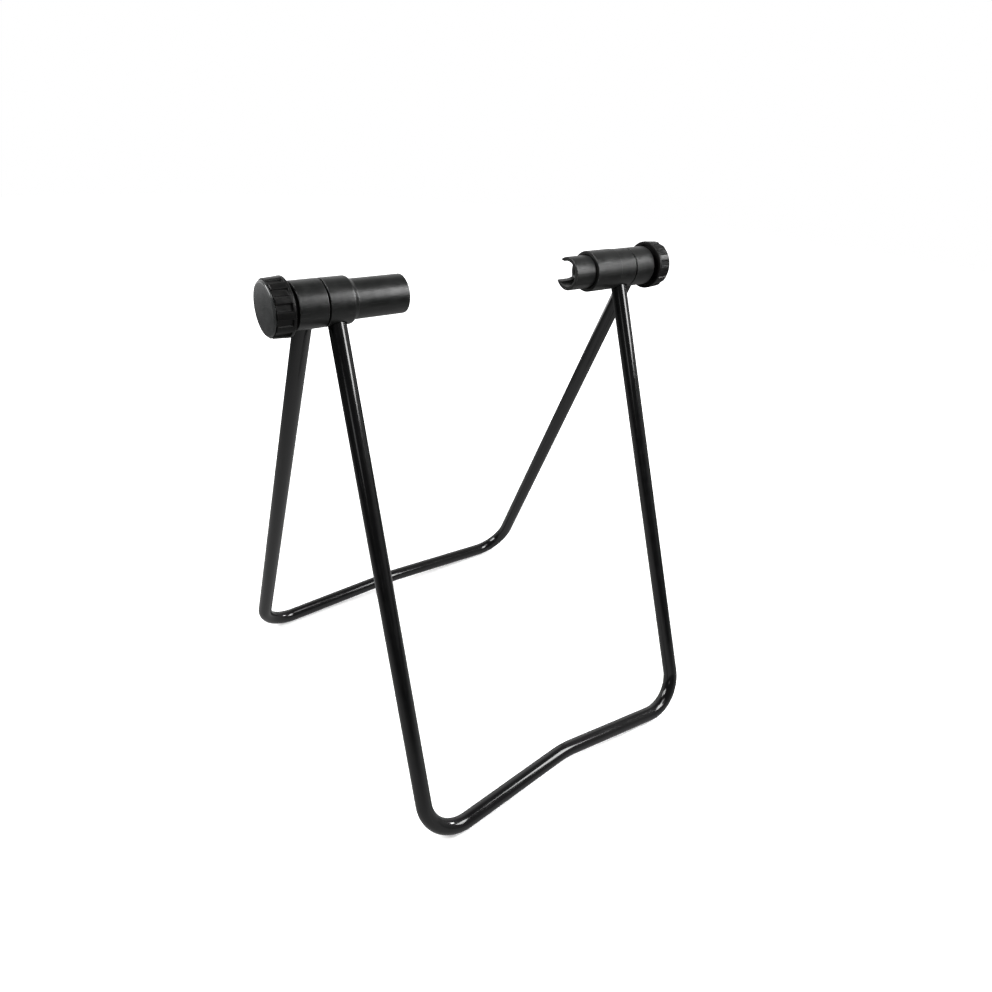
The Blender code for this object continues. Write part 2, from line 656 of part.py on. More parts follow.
def knob(side, parent):
    """Ribbed knob with a hub that bears on the thrust washer."""
    recess_radius = KNOB_RADIUS - KNOB_RIM_WALL
    profile = [(CAP_SKIRT_RADIUS + REST_GAP, KNOB_OUTER_END),
               (KNOB_END_RADIUS - KNOB_EDGE, KNOB_OUTER_END),
               (KNOB_END_RADIUS, KNOB_OUTER_END - KNOB_EDGE),
               (KNOB_RADIUS, KNOB_INNER_END + KNOB_BAND),
               (KNOB_RADIUS, KNOB_INNER_END + KNOB_EDGE),
               (KNOB_RADIUS - KNOB_EDGE, KNOB_INNER_END),
               (recess_radius, KNOB_INNER_END),
               (recess_radius, KNOB_WEB_FACE),
               (KNOB_HUB_RADIUS, KNOB_WEB_FACE),
               (KNOB_HUB_RADIUS, KNOB_HUB_FACE),
               (SPIGOT_BORE, KNOB_HUB_FACE),
               (SPIGOT_BORE, KNOB_POCKET_FLOOR),
               (CAP_SKIRT_RADIUS + REST_GAP, KNOB_POCKET_FLOOR)]
    body = turned_piece(side + "_knob", side, profile, KNOB_PLASTIC, parent)
    combine(body, groove_cutters(side))
    combine(body, hexagon_cutter(side + "_head_pocket", side, HEAD_START - REST_GAP,
                                 KNOB_POCKET_FLOOR + CUT_OVERRUN))
    return body


def knob_cap(side, parent):
    """Domed cover that snaps into the knob with a short skirt."""
    rim_top = CAP_START + CAP_RIM_HEIGHT
    apex = CAP_START + CAP_DOME_HEIGHT
    shoulder = arc((CAP_RADIUS - CAP_ROUNDING, rim_top), CAP_ROUNDING, CAP_SHOULDER_ANGLE,
                   0.0, ARC_STEPS)
    dome_radius, dome_base = shoulder[0]
    dome = [(dome_radius * i / DOME_STEPS, apex - (apex - dome_base) * (i / DOME_STEPS) ** 2)
            for i in range(DOME_STEPS)]
    skirt_inner = CAP_SKIRT_RADIUS - CAP_WALL
    profile = dome + shoulder
    profile += [(CAP_RADIUS, CAP_START),
                (CAP_SKIRT_RADIUS, CAP_START),
                (CAP_SKIRT_RADIUS, CAP_START - CAP_SKIRT_LENGTH),
                (skirt_inner, CAP_START - CAP_SKIRT_LENGTH),
                (skirt_inner, rim_top),
                (0.0, apex - CAP_WALL)]
    return turned_piece(side + "_knob_cap", side, profile, CAP_PLASTIC, parent)


def knob_screw(name, side, tip, parent, groove=()):
    """Screw with its hexagon head in the knob, and an optional groove for a ring."""
    profile = [(0.0, HEAD_START + HEAD_HEIGHT / 2), (SCREW_RADIUS, HEAD_START + HEAD_HEIGHT / 2)]
    for low, high in groove:
        profile += [(SCREW_RADIUS, high), (RING_GROOVE_RADIUS, high),
                    (RING_GROOVE_RADIUS, low), (SCREW_RADIUS, low)]
    profile += [(SCREW_RADIUS, tip + SCREW_TIP_EDGE), (SCREW_RADIUS - SCREW_TIP_EDGE, tip),
                (0.0, tip)]
    screw = turned_piece(name, side, profile, ZINC_STEEL, parent, steps=BORE_STEPS)
    head = hexagon_mesh(name + "_head", NUT_FLATS, HEAD_START, HEAD_START + HEAD_HEIGHT)
    combine(screw, new_cutter(head.name, head, fold_line_matrix(barrel_turn(side))), "UNION")
    return screw


def hexagon_nut(name, side, start, parent):
    """Nut, bored clear of the screw's thread."""
    end = start + NUT_THICKNESS
    nut = new_piece(name, hexagon_mesh(name, NUT_FLATS, start, end), ZINC_STEEL, parent)
    nut.rotation_euler = barrel_turn(side).to_euler()
    bore = rod_mesh(name + "_bore", SPIGOT_BORE, start - CUT_OVERRUN, end + CUT_OVERRUN)
    combine(nut, new_cutter(bore.name, bore, fold_line_matrix(barrel_turn(side))))
    return nut


def retaining_ring(parent):
    """Open ring in the adjusting screw's groove, behind the guide's floor."""
    points = sector(RING_GROOVE_RADIUS + REST_GAP, RING_RADIUS, RING_OPENING,
                    2 * math.pi - RING_OPENING)
    mesh = outline_mesh("right_retaining_ring", points, RING_START, RING_START + RING_THICKNESS)
    ring = new_piece(mesh.name, mesh, ZINC_STEEL, parent)
    ring.rotation_euler = barrel_turn("right").to_euler()
    return ring


def washer(name, side, inner, outer, start, thickness, parent):
    """Plain washer on a barrel."""
    end = start + thickness
    profile = [(outer, end), (outer, start), (inner, start), (inner, end)]
    return turned_piece(name, side, profile, WASHER_NYLON, parent, steps=BORE_STEPS)


def build_stand():
    """Make every piece under the empty of the body that it moves with."""
    front = new_axis("front_assembly_axis")
    back = new_axis("fold_axis")
    right_slide = new_axis("right_sleeve_travel")
    left_travel = new_axis("left_clamp_travel")
    knob_axes = {"left": new_axis("left_knob_axis", left_travel),
                 "right": new_axis("right_knob_axis")}

    for frame, parent in ((FRONT, front), (BACK, back)):
        bent_tube(frame, parent)
        for side in SIDES:
            leg_pin(frame, side, parent)
    left_front_cup(front)
    right_front_collar(front)
    slotted_sleeve(right_slide)
    for side, knob_axis in knob_axes.items():
        back_collar(side, back)
        washer(side + "_pivot_washer", side, COLLAR_BORE, PIVOT_WASHER_RADIUS,
               FRONT_SEAM_FACE + REST_GAP, PIVOT_WASHER_THICKNESS, front)
        knob(side, knob_axis)
        knob_cap(side, knob_axis)
    for side, parent in (("left", left_travel), ("right", front)):
        washer(side + "_thrust_washer", side, SPIGOT_BORE, THRUST_WASHER_RADIUS,
               THRUST_WASHER_START, THRUST_WASHER_THICKNESS, parent)

    knob_screw("left_clamp_screw", "left", LEFT_NUT_START - SCREW_TIP_PAST_NUT,
               knob_axes["left"])
    hexagon_nut("left_clamp_nut", "left", LEFT_NUT_START, front)
    knob_screw("right_adjusting_screw", "right",
               RIGHT_NUT_START - SLEEVE_EXTEND - SCREW_TIP_PAST_NUT, knob_axes["right"],
               groove=[(RING_START - REST_GAP, RING_START + RING_THICKNESS + REST_GAP)])
    hexagon_nut("right_adjusting_nut", "right", RIGHT_NUT_START, right_slide)
    retaining_ring(knob_axes["right"])


def smooth_pieces():
    """Shade every piece smooth between its sharp edges."""
    for piece in PARTS.objects:
        if piece.type == "MESH":
            piece.modifiers.new("smoothing", "NODES").node_group = SMOOTHING


build_stand()
smooth_pieces()
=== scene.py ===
"""Looks of the folding bicycle hub stand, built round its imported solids.

Metres, +Z up, X along the fold line. Each tube, moulding, knob and fastener that shows is
a surface computed from a formula on a whole grid of points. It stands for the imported
solid of the same place and moves with the same body. s is the distance along a barrel
from the middle of the stand, r the radius about the fold line, and theta the angle from
+Y towards +Z.
"""
import math

import bpy
import numpy as np
from mathutils import Matrix, Vector


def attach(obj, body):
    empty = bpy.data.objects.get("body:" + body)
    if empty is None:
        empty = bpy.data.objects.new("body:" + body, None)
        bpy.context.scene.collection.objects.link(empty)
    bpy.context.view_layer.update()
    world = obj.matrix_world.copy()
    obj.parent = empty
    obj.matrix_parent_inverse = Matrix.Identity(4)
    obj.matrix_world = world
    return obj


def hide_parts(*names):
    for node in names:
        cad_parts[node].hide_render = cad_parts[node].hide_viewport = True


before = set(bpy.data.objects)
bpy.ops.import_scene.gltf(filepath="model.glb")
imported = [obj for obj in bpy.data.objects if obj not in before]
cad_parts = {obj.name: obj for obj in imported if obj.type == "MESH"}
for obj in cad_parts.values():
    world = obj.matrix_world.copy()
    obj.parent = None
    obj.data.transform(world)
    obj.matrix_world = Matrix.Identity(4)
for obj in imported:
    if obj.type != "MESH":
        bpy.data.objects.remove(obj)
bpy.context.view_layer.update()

SIDES = {"left": -1, "right": 1}

# Frames of bent tube, as in the solids
TUBE_RADIUS = 0.0060
TUBE_BORE = 0.0048
LOWEST_DEPTH = 0.3826  # of the tube's centre line, below the fold line along a leg
LEG_SPLAY = math.radians(22.1)
AXIS_HEIGHT = LOWEST_DEPTH * math.cos(LEG_SPLAY) + TUBE_RADIUS
CORNER_BEND_RADIUS = 0.029
BAR_BEND_RADIUS = 0.080
LEG_END = 0.0086
FRONT_LEG = (0.1221, 0.1300)  # from the middle, at the fold line and at the foot
BACK_LEG = (0.14055, 0.1432)
FRONT_BAR_RISE = 0.0115
BACK_BAR_RISE = 0.0085
TUBE_LIP = 0.0004  # drawn in at the tube's ends

# Barrels, as in the solids
COLLAR_START = 0.1142
FRONT_SEAM = 0.1300
BACK_SEAM = 0.1311
COLLAR_END = 0.1500
SPIGOT_END = 0.1497
COLLAR_RADIUS = 0.0149
GUIDE_RADIUS = 0.0153
SPIGOT_RADIUS = 0.0070
COLLAR_BORE = 0.0073
SCREW_BORE = 0.0043
LEFT_MOUTH = 0.0739
CUP_RADIUS = 0.0126
CUP_BORE = 0.0094
CUP_FLOOR = 0.1100
CUP_POCKET_END = 0.1166
CUP_TAPER = 0.0045
CUP_EDGE = 0.0009
GUIDE_MOUTH = 0.0894
GUIDE_BORE = 0.0127
GUIDE_FLOOR = 0.1132
RING_RECESS = (0.1148, 0.0078)  # floor and radius
KEY = (0.0952, 0.0030, 0.0013)  # start, width and height
KEY_RUN_IN = (0.0012, 0.0016)  # its soft end, past its start
KEY_SOFT = 0.0002
KEY_ANGLE = math.radians(250.0)
SLEEVE_MOUTH = 0.0699
SLEEVE_BACK = 0.1056
SLEEVE_RADIUS = 0.0124
SLEEVE_FLOOR = 0.0976
SLEEVE_POCKET = 0.0990
SLEEVE_TURNED = 0.0006  # from the even ring to the turned part's first row
KEYWAY = (0.0879, 0.0036, 0.0013)  # start, width and depth
KEYWAY_SOFT = (0.0003, 0.0005)  # sides and start
NOTCH_ROOT = 0.0859
NOTCH_HALF_WIDTH = 0.0079
NOTCH_CORNER = 0.0025
NOTCH_ANGLE = math.radians(7.5)
NOTCH_EDGE = 0.00045  # rounding of its outer edge
NOTCH_BLEND = 0.002  # along which the mouth's rounding turns into it
SLEEVE_INNER_EDGE = 0.00035
STOP_RADII = (0.0110, 0.0135)  # of the fold's stop, a lug in a slot
STOP_ANGLES = (math.radians(70.0), math.radians(110.0))
STOP_TRAVEL = math.radians(41.5)
STOP_REACH = 0.0020  # of the lug, past the front collar's seam face
STOP_DEPTH = 0.0012  # of the slot
STOP_SOFT = 0.00025  # width of the soft sides, and their angle
STOP_SOFT_ANGLE = math.radians(1.3)
HIDDEN_GAP = 0.0003
SEAT = (0.0063, 0.0069, 0.0030)  # groove round a leg: inner and outer radius, depth
PARTING = (0.00004, 0.00016)  # height and half width of the mould's line

# Knobs and fasteners, as in the solids
HUB_FACE = 0.1518
KNOB_START = 0.1533
KNOB_END = 0.1649
KNOB_RADIUS = 0.0183
KNOB_END_RADIUS = 0.0177
KNOB_RIM = 0.0019  # straight part before the knob's taper
KNOB_WEB = 0.1560
RECESS_RADIUS = 0.0158
HUB_RADIUS = 0.0105
POCKET_FLOOR = 0.1614
POCKET_RADIUS = 0.0141
GROOVES = 12
GROOVE_HALF_WIDTH = 0.00225
GROOVE_FLOOR = 0.0169
GROOVE_START = (0.1550, 0.1557)  # between these it goes from no depth to its floor
GROOVE_SOFT = 0.0003
CAP_START = 0.1652
CAP_RADIUS = 0.0167
CAP_RIM = 0.0002
CAP_ROUNDING = 0.0012
CAP_SHOULDER = math.radians(82.0)
CAP_APEX = 0.1670
CAP_WALL = 0.0014
CAP_BEVEL = 0.00015
CAP_SKIRT = (0.0138, 0.0026)  # radius and length
SKIRT_BEVEL = 0.0001
CAP_FILLET = 0.0004  # inside, where the skirt meets the dome
CAP_CEILING = (CAP_START - 0.0002, 0.004)  # start, and radius of its last row
HEXAGON_RADIUS = 0.0130 / math.sqrt(3)
POCKET_HEXAGON = 0.0136 / math.sqrt(3)
HEAD = (0.1563, 0.1611)  # start and end, as for the nuts
HEAD_BEVEL = 0.0005
HEAD_LIMITS = (0.0066, 0.0078, 0.0078, 0.0064, 0.0030)  # radii the hexagon is held to
SCREW_RADIUS = 0.0040
SCREW_CHAMFER = 0.0008  # at its tip
SCREW_SOFT = 0.0001  # room at its ends and width of a groove's side
THREAD_PITCH = 0.00125
THREAD_DEPTH = 0.00038
THREAD_RUN_OUT = 0.0020  # before the head
THREAD_ROWS = 8  # to a turn
LEFT_TIP = 0.1092
RIGHT_TIP = 0.0927
RING_GROOVE = (0.1132, 0.1148, 0.0033)  # start, end and radius
LEFT_NUT = (0.1103, 0.1163)
RIGHT_NUT = (0.0993, 0.1053)
# Rows of a nut from its bore to its middle: depth, radius it is held to and edge mask
NUT_HALF = ((0.0, 0.0048, 0.0), (0.0, 0.0062, 0.5), (0.0002, 0.0066, 0.6),
            (0.0006, 0.0078, 0.3))
NUT_LIP = 0.0003  # depth of the bore's first row

# Grids
AROUND = 288
KNOB_AROUND = 480
CAP_AROUND = 192
NUT_AROUND = 96
SCREW_AROUND = 60
TUBE_AROUND = 48
FLOOR_AROUND = 96
LINE_POINTS = (64, 45, 22, 9)  # along a leg, a corner and half a bar, and on its crest
CAP_ROWS = (26, 9)  # of the dome and of the rim's arc
FINE = 0.00034  # greatest steps between two rows of a profile
FACE_STEP = 0.00020
GRIP_STEP = 0.00050
COARSE = 0.0012
NO_ROWS = 1.0
ROUNDING_STEPS = 5
GUARD = 0.00012  # a row this far from each rounding keeps its side flat
TOUCH = 0.00001  # nearer than this is on the face
SAME = 1e-9  # nearer than this is the same place
NOTCH_POINTS = (190, 26, 12, 36)  # round the mouth, along a side, at a corner, at the root
NOTCH_APRON = 0.0028  # from the notch's root to the even ring
SHEET_ROWS = 26  # from the rim to the even ring, crowded at the rim
SHEET_CROWDING = 1.15
SHEET_FANS = (math.radians(6.0), math.radians(5.0))  # outer and inner wall
STRIP_SHARE = 0.42  # of the rim's strip, at most, in one rounding


def smooth(low, high, value):
    """Smoothstep from 0 at low to 1 at high."""
    share = np.clip((value - low) / (high - low), 0.0, 1.0)
    return share * share * (3.0 - 2.0 * share)


def circle(count):
    """Evenly spaced angles of a closed ring, as one row."""
    return np.linspace(0.0, 2 * math.pi, count + 1)[None, :-1]


def angle_gap(angle, centre):
    """Signed difference of two angles, from -pi to pi."""
    return (angle - centre + math.pi) % (2 * math.pi) - math.pi


def cross(a, b):
    """Cross product of two plane vectors."""
    return a[0] * b[1] - a[1] * b[0]


def profile(corners):
    """Closed profile through corners of (s, r, rounding, step, hexagon share), where the
    last three are 0, COARSE and 0 if left out.

    A corner becomes the curve (1-u)^2 A + 2u(1-u) C + u^2 D that touches both of its
    sides, and the run after it gets points at most a step apart. Returns s, r, the
    hexagon share and the edge mask 4u(1-u) of the convex roundings, one value a row.
    """
    corners = [(*corner, *(0.0, COARSE, 0.0)[len(corner) - 2:]) for corner in corners]
    places = np.array([corner[:2] for corner in corners])
    count = len(corners)
    area = sum(cross(places[i - 1], places[i]) for i in range(count))
    arcs = []
    for i, (corner, place) in enumerate(zip(corners, places)):
        back = places[i - 1] - place
        ahead = places[(i + 1) % count] - place
        back /= np.linalg.norm(back)
        ahead /= np.linalg.norm(ahead)
        convex = cross(ahead, back) * area > 0
        if corner[2] == 0:
            arcs.append((place[None, :], np.zeros(1)))
            continue
        u = np.linspace(0.0, 1.0, ROUNDING_STEPS + 1)[:, None]
        start, end = place + back * corner[2], place + ahead * corner[2]
        points = (1 - u) ** 2 * start + 2 * u * (1 - u) * place + u ** 2 * end
        arcs.append((points, 4 * u[:, 0] * (1 - u[:, 0]) * convex))
    rows = []
    for i, (points, edge) in enumerate(arcs):
        here, following = corners[i][4], corners[(i + 1) % count][4]
        rows.append(np.column_stack([points, np.full(len(points), here), edge]))
        start, end = points[-1], arcs[(i + 1) % count][0][0]
        length = np.linalg.norm(end - start)
        if length < 3 * GUARD:
            continue
        steps = max(1, math.ceil((length - 2 * GUARD) / corners[i][3]))
        t = np.linspace(GUARD, length - GUARD, steps + 1)[:, None] / length
        share = here + (following - here) * t
        rows.append(np.column_stack([start + (end - start) * t, share, np.zeros_like(t)]))
    return np.concatenate(rows).T


def barrel_points(side, s, r, theta):
    """X = +-s, Y = r cos(theta), Z = axis height + r sin(theta), on whole grids."""
    s, r, theta = np.broadcast_arrays(s, r, theta)
    return np.stack([SIDES[side] * s, r * np.cos(theta),
                     AXIS_HEIGHT + r * np.sin(theta)], axis=-1)


def hexagon(r, share, theta):
    """r times 1, or times cos(30) / cos(theta mod 60 - 30) where the share is 1."""
    shape = math.cos(math.pi / 6) / np.cos(theta % (math.pi / 3) - math.pi / 6)
    return r * (1.0 - share + share * shape)


def add_surface(name, points, edge, poles, ride, nodes, material, straight=None):
    """Closed mesh from a grid of rings, with a pole at each end or its last ring joined
    to its first, turned so that its volume (sum of a . (b x c)) / 6 is positive."""
    rows, columns = points.shape[:2]
    index = np.arange(rows * columns).reshape(rows, columns)
    lower = index if poles is None else index[:-1]
    upper = np.roll(index, -1, axis=0) if poles is None else index[1:]
    quads = np.stack([lower, upper, np.roll(upper, -1, 1), np.roll(lower, -1, 1)], axis=-1)
    vertices = points.reshape(-1, 3)
    faces = quads.reshape(-1, 4)
    corner = vertices[faces]
    volume = sum((corner[:, 0] * np.cross(corner[:, i], corner[:, i + 1])).sum()
                 for i in (1, 2))
    loops = [faces]
    if poles is not None:
        first = len(vertices)
        vertices = np.concatenate([vertices, poles])
        ends = []
        for ring, pole, turn in ((index[0], first, -1), (index[-1], first + 1, 1)):
            ends.append(np.stack([ring, np.roll(ring, -turn), np.full(columns, pole)], axis=-1))
        fans = np.concatenate(ends)
        corner = vertices[fans]
        volume += (corner[:, 0] * np.cross(corner[:, 1], corner[:, 2])).sum()
        loops.append(fans)
    if volume < 0:
        loops = [block[:, ::-1] for block in loops]
    mesh = bpy.data.meshes.new(name)
    mesh.from_pydata(vertices, [], sum((block.tolist() for block in loops), []))
    mesh.polygons.foreach_set("use_smooth", np.ones(len(mesh.polygons), dtype=bool))
    wear = np.zeros(len(vertices), dtype=np.float32)
    wear[:rows * columns] = np.broadcast_to(edge, (rows, columns)).ravel()
    mesh.attributes.new("edge", "FLOAT", "POINT").data.foreach_set("value", wear)
    if straight is not None:
        mesh.attributes.new("straight", "FLOAT_VECTOR", "POINT").data.foreach_set(
            "vector", straight.astype(np.float32).ravel())
    mesh.materials.append(material)
    piece = bpy.data.objects.new(name, mesh)
    bpy.context.scene.collection.objects.link(piece)
    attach(piece, ride)
    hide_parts(*nodes)


# Materials


def add_node(tree, kind, inputs=None, **settings):
    """Node with its settings and some of its inputs, each a value or a socket to link."""
    node = tree.nodes.new(kind)
    for key, value in settings.items():
        setattr(node, key, value)
    for key, value in (inputs or {}).items():
        if isinstance(value, bpy.types.NodeSocket):
            tree.links.new(value, node.inputs[key])
        else:
            node.inputs[key].default_value = value
    return node


def calculate(tree, operation, first, second):
    """Result of a Math node on two values or sockets."""
    return add_node(tree, "ShaderNodeMath", {0: first, 1: second},
                    operation=operation).outputs["Value"]


def ranged(tree, source, low, high, to_low=0.0, to_high=1.0):
    """Result of a Map Range node after a socket."""
    return add_node(tree, "ShaderNodeMapRange",
                    {"Value": source, "From Min": low, "From Max": high,
                     "To Min": to_low, "To Max": to_high}).outputs["Result"]


def new_group(name, inputs, outputs):
    """Empty shader node group with (name, kind) sockets."""
    tree = bpy.data.node_groups.new(name, "ShaderNodeTree")
    for direction, sockets in (("INPUT", inputs), ("OUTPUT", outputs)):
        for socket, kind in sockets:
            tree.interface.new_socket(socket, in_out=direction, socket_type="NodeSocket" + kind)
    return tree, tree.nodes.new("NodeGroupInput").outputs, tree.nodes.new("NodeGroupOutput")


def marks_group():
    """Broad mottling, fine grain, thin scratches along X and dust specks, each 0 to 1."""
    tree, given, end = new_group(
        "surface_marks",
        [("Vector", "Vector"), ("Mottle Scale", "Float"), ("Grain Scale", "Float")],
        [("Mottle", "Float"), ("Grain", "Float"), ("Scratches", "Float"), ("Specks", "Float")])
    mottle = add_node(tree, "ShaderNodeTexNoise",
                      {"Vector": given["Vector"], "Scale": given["Mottle Scale"],
                       "Detail": 3.0, "Roughness": 0.55})
    grain = add_node(tree, "ShaderNodeTexNoise",
                     {"Vector": given["Vector"], "Scale": given["Grain Scale"],
                      "Detail": 2.0, "Roughness": 0.6})
    stretch = add_node(tree, "ShaderNodeMapping",
                       {"Vector": given["Vector"], "Scale": SCRATCH_SCALES})
    lines = add_node(tree, "ShaderNodeTexNoise",
                     {"Vector": stretch.outputs["Vector"], "Scale": 1.0, "Detail": 1.0})
    dust = add_node(tree, "ShaderNodeTexVoronoi",
                    {"Vector": given["Vector"], "Scale": DUST_SCALE, "Randomness": 1.0})
    for mark, source in (("Mottle", ranged(tree, mottle.outputs["Fac"], *MOTTLED)),
                         ("Grain", grain.outputs["Fac"]),
                         ("Scratches", ranged(tree, lines.outputs["Fac"], *SCRATCHED)),
                         ("Specks", ranged(tree, dust.outputs["Distance"], *DUSTED))):
        tree.links.new(source, end.inputs[mark])
    return tree


def wear_group():
    """Mask of rubbed edges: the piece's edge attribute, broken up by a noise."""
    tree, given, end = new_group("edge_rub", [("Vector", "Vector"), ("Edge", "Float")],
                                 [("Rub", "Float")])
    noise = add_node(tree, "ShaderNodeTexNoise",
                     {"Vector": given["Vector"], "Scale": RUB_SCALE, "Detail": 4.0})
    patches = ranged(tree, noise.outputs["Fac"], *RUBBED)
    tree.links.new(calculate(tree, "MULTIPLY", patches, given["Edge"]), end.inputs["Rub"])
    return tree


# Values of the textures at which a mark is 0 and 1
MOTTLED = (0.35, 0.65)
SCRATCHED = (0.66, 0.72)
DUSTED = (0.10, 0.04)
RUBBED = (0.42, 0.68)
POINTED = (0.52, 0.60)
SCRATCH_SCALES = (45.0, 2600.0, 2600.0)
DUST_SCALE = 700.0
RUB_SCALE = 420.0
SCRATCH_SHARE = 0.35  # of the rubbed colour in a scratch, and in a speck
SPECK_SHARE = 0.30
MARKS = marks_group()
WEAR = wear_group()


def new_material(name, dark, light, rubbed, roughness, specular, bumps, scales,
                 metallic=0.0, attribute=None, edge_attribute=True):
    """Material with mottled colour, rubbed edges and noise-driven roughness and bump.

    dark, light and rubbed are colours; roughness is (smooth, rough); bumps is (distance of
    the broad bump, distance of the fine one); scales is (mottle, grain). Without the edge
    attribute it is rubbed where the mesh is pointed."""
    material = bpy.data.materials.new(name)
    material.use_nodes = True
    tree = material.node_tree
    shader = tree.nodes["Principled BSDF"]
    shader.inputs["Specular IOR Level"].default_value = specular
    shader.inputs["Metallic"].default_value = metallic
    if attribute is None:
        place = add_node(tree, "ShaderNodeTexCoord").outputs["Object"]
    else:
        place = add_node(tree, "ShaderNodeAttribute", attribute_name=attribute).outputs["Vector"]
    vector = add_node(tree, "ShaderNodeMapping",
                      {"Vector": place, "Location": (0.0, 0.0, -AXIS_HEIGHT)}).outputs["Vector"]
    marks = add_node(tree, "ShaderNodeGroup",
                     {"Vector": vector, "Mottle Scale": scales[0], "Grain Scale": scales[1]},
                     node_tree=MARKS).outputs
    if edge_attribute:
        edge = add_node(tree, "ShaderNodeAttribute", attribute_name="edge").outputs["Fac"]
    else:
        pointed = add_node(tree, "ShaderNodeNewGeometry").outputs["Pointiness"]
        edge = ranged(tree, pointed, *POINTED)
    rub = add_node(tree, "ShaderNodeGroup", {"Vector": vector, "Edge": edge}, node_tree=WEAR)
    tint = add_node(tree, "ShaderNodeMix",
                    {"Factor": marks["Mottle"], "A": (*dark, 1.0), "B": (*light, 1.0)},
                    data_type="RGBA")
    scratches = ranged(tree, marks["Scratches"], 0.0, 1.0, 0.0, SCRATCH_SHARE)
    specks = ranged(tree, marks["Specks"], 0.0, 1.0, 0.0, SPECK_SHARE)
    worn = calculate(tree, "MAXIMUM", calculate(tree, "MAXIMUM", scratches, specks),
                     rub.outputs["Rub"])
    colour = add_node(tree, "ShaderNodeMix",
                      {"Factor": worn, "A": tint.outputs["Result"], "B": (*rubbed, 1.0)},
                      data_type="RGBA")
    broad = add_node(tree, "ShaderNodeBump",
                     {"Strength": 1.0, "Distance": bumps[0], "Height": marks["Mottle"]})
    fine = add_node(tree, "ShaderNodeBump",
                    {"Strength": 1.0, "Distance": bumps[1], "Height": marks["Grain"],
                     "Normal": broad.outputs["Normal"]})
    for source, socket in ((colour.outputs["Result"], "Base Color"),
                           (ranged(tree, marks["Mottle"], 0.0, 1.0, *roughness), "Roughness"),
                           (fine.outputs["Normal"], "Normal")):
        tree.links.new(source, shader.inputs[socket])
    return material


PAINT = new_material("black_gloss_paint", (0.0022, 0.0022, 0.0024), (0.0034, 0.0034, 0.0036),
                     (0.030, 0.030, 0.031), (0.12, 0.16), 0.55, (0.000002, 0.0000003),
                     (120.0, 900.0), attribute="straight")
BARREL = new_material("moulded_barrel_plastic", (0.0040, 0.0043, 0.0041),
                      (0.0068, 0.0073, 0.0069), (0.045, 0.046, 0.045), (0.31, 0.39), 0.42,
                      (0.000045, 0.000010), (130.0, 2400.0))
KNOB = new_material("ribbed_knob_plastic", (0.0026, 0.0026, 0.0026), (0.0044, 0.0043, 0.0042),
                    (0.014, 0.0135, 0.013), (0.30, 0.40), 0.21, (0.000020, 0.000005),
                    (190.0, 2600.0))
CAP = new_material("domed_cap_plastic", (0.020, 0.021, 0.021), (0.028, 0.029, 0.029),
                   (0.060, 0.061, 0.061), (0.15, 0.21), 0.55, (0.000008, 0.000003),
                   (150.0, 2200.0))
NYLON = new_material("washer_nylon", (0.0030, 0.0030, 0.0030), (0.0060, 0.0060, 0.0060),
                     (0.020, 0.020, 0.020), (0.50, 0.65), 0.4, (0.000020, 0.000008),
                     (260.0, 2600.0), edge_attribute=False)
ZINC_FINISH = ((0.44, 0.44, 0.42), (0.58, 0.58, 0.55), (0.72, 0.72, 0.70), (0.24, 0.40), 0.5,
               (0.000010, 0.000004), (300.0, 2200.0), 1.0)
ZINC = new_material("zinc_plated_steel", *ZINC_FINISH)
BARE_ZINC = new_material("zinc_plated_steel_of_hidden_pins", *ZINC_FINISH,
                         edge_attribute=False)


# Frames


def centre_line(leg, bar_rise):
    """Points of the smooth centre line in the frame's own plane, X across, Y up the leg.

    Straight leg, corner arc c + 29 mm (cos a, sin a), straight bar that rises, and an arc
    of 80 mm across the bar's middle, then the same mirrored."""
    leg_x, foot_half_width = leg
    spread = (foot_half_width - leg_x) / LOWEST_DEPTH
    slope = bar_rise / (foot_half_width - CORNER_BEND_RADIUS)
    leg_lean, bar_lean = math.atan(spread), math.atan(slope)
    centre_y = CORNER_BEND_RADIUS - LOWEST_DEPTH
    centre_x = leg_x - spread * centre_y - CORNER_BEND_RADIUS / math.cos(leg_lean)

    def arc(x, y, radius, start, end, count):
        angle = np.linspace(start, end, count)
        return np.column_stack([x + radius * np.cos(angle), y + radius * np.sin(angle)])

    on_leg, on_corner, on_bar, on_crest = LINE_POINTS
    corner = arc(centre_x, centre_y, CORNER_BEND_RADIUS, -leg_lean, -math.pi / 2 - bar_lean,
                 on_corner)
    bend_x = BAR_BEND_RADIUS * math.sin(bar_lean)
    bend_y = corner[-1, 1] + (corner[-1, 0] - bend_x) * slope
    crest = arc(0.0, bend_y - BAR_BEND_RADIUS * math.cos(bar_lean), BAR_BEND_RADIUS,
                math.pi / 2 - bar_lean, math.pi / 2, on_crest)
    leg_start = np.array([leg_x + spread * LEG_END, -LEG_END])
    share = np.linspace(0.0, 1.0, on_leg)[:-1, None]
    straight = leg_start + (corner[0] - leg_start) * share
    share = np.linspace(0.0, 1.0, on_bar)[1:-1, None]
    bar = corner[-1] + (crest[0] - corner[-1]) * share
    half = np.concatenate([straight, corner, bar, crest])
    return np.concatenate([half, half[-2::-1] * (-1.0, 1.0)])


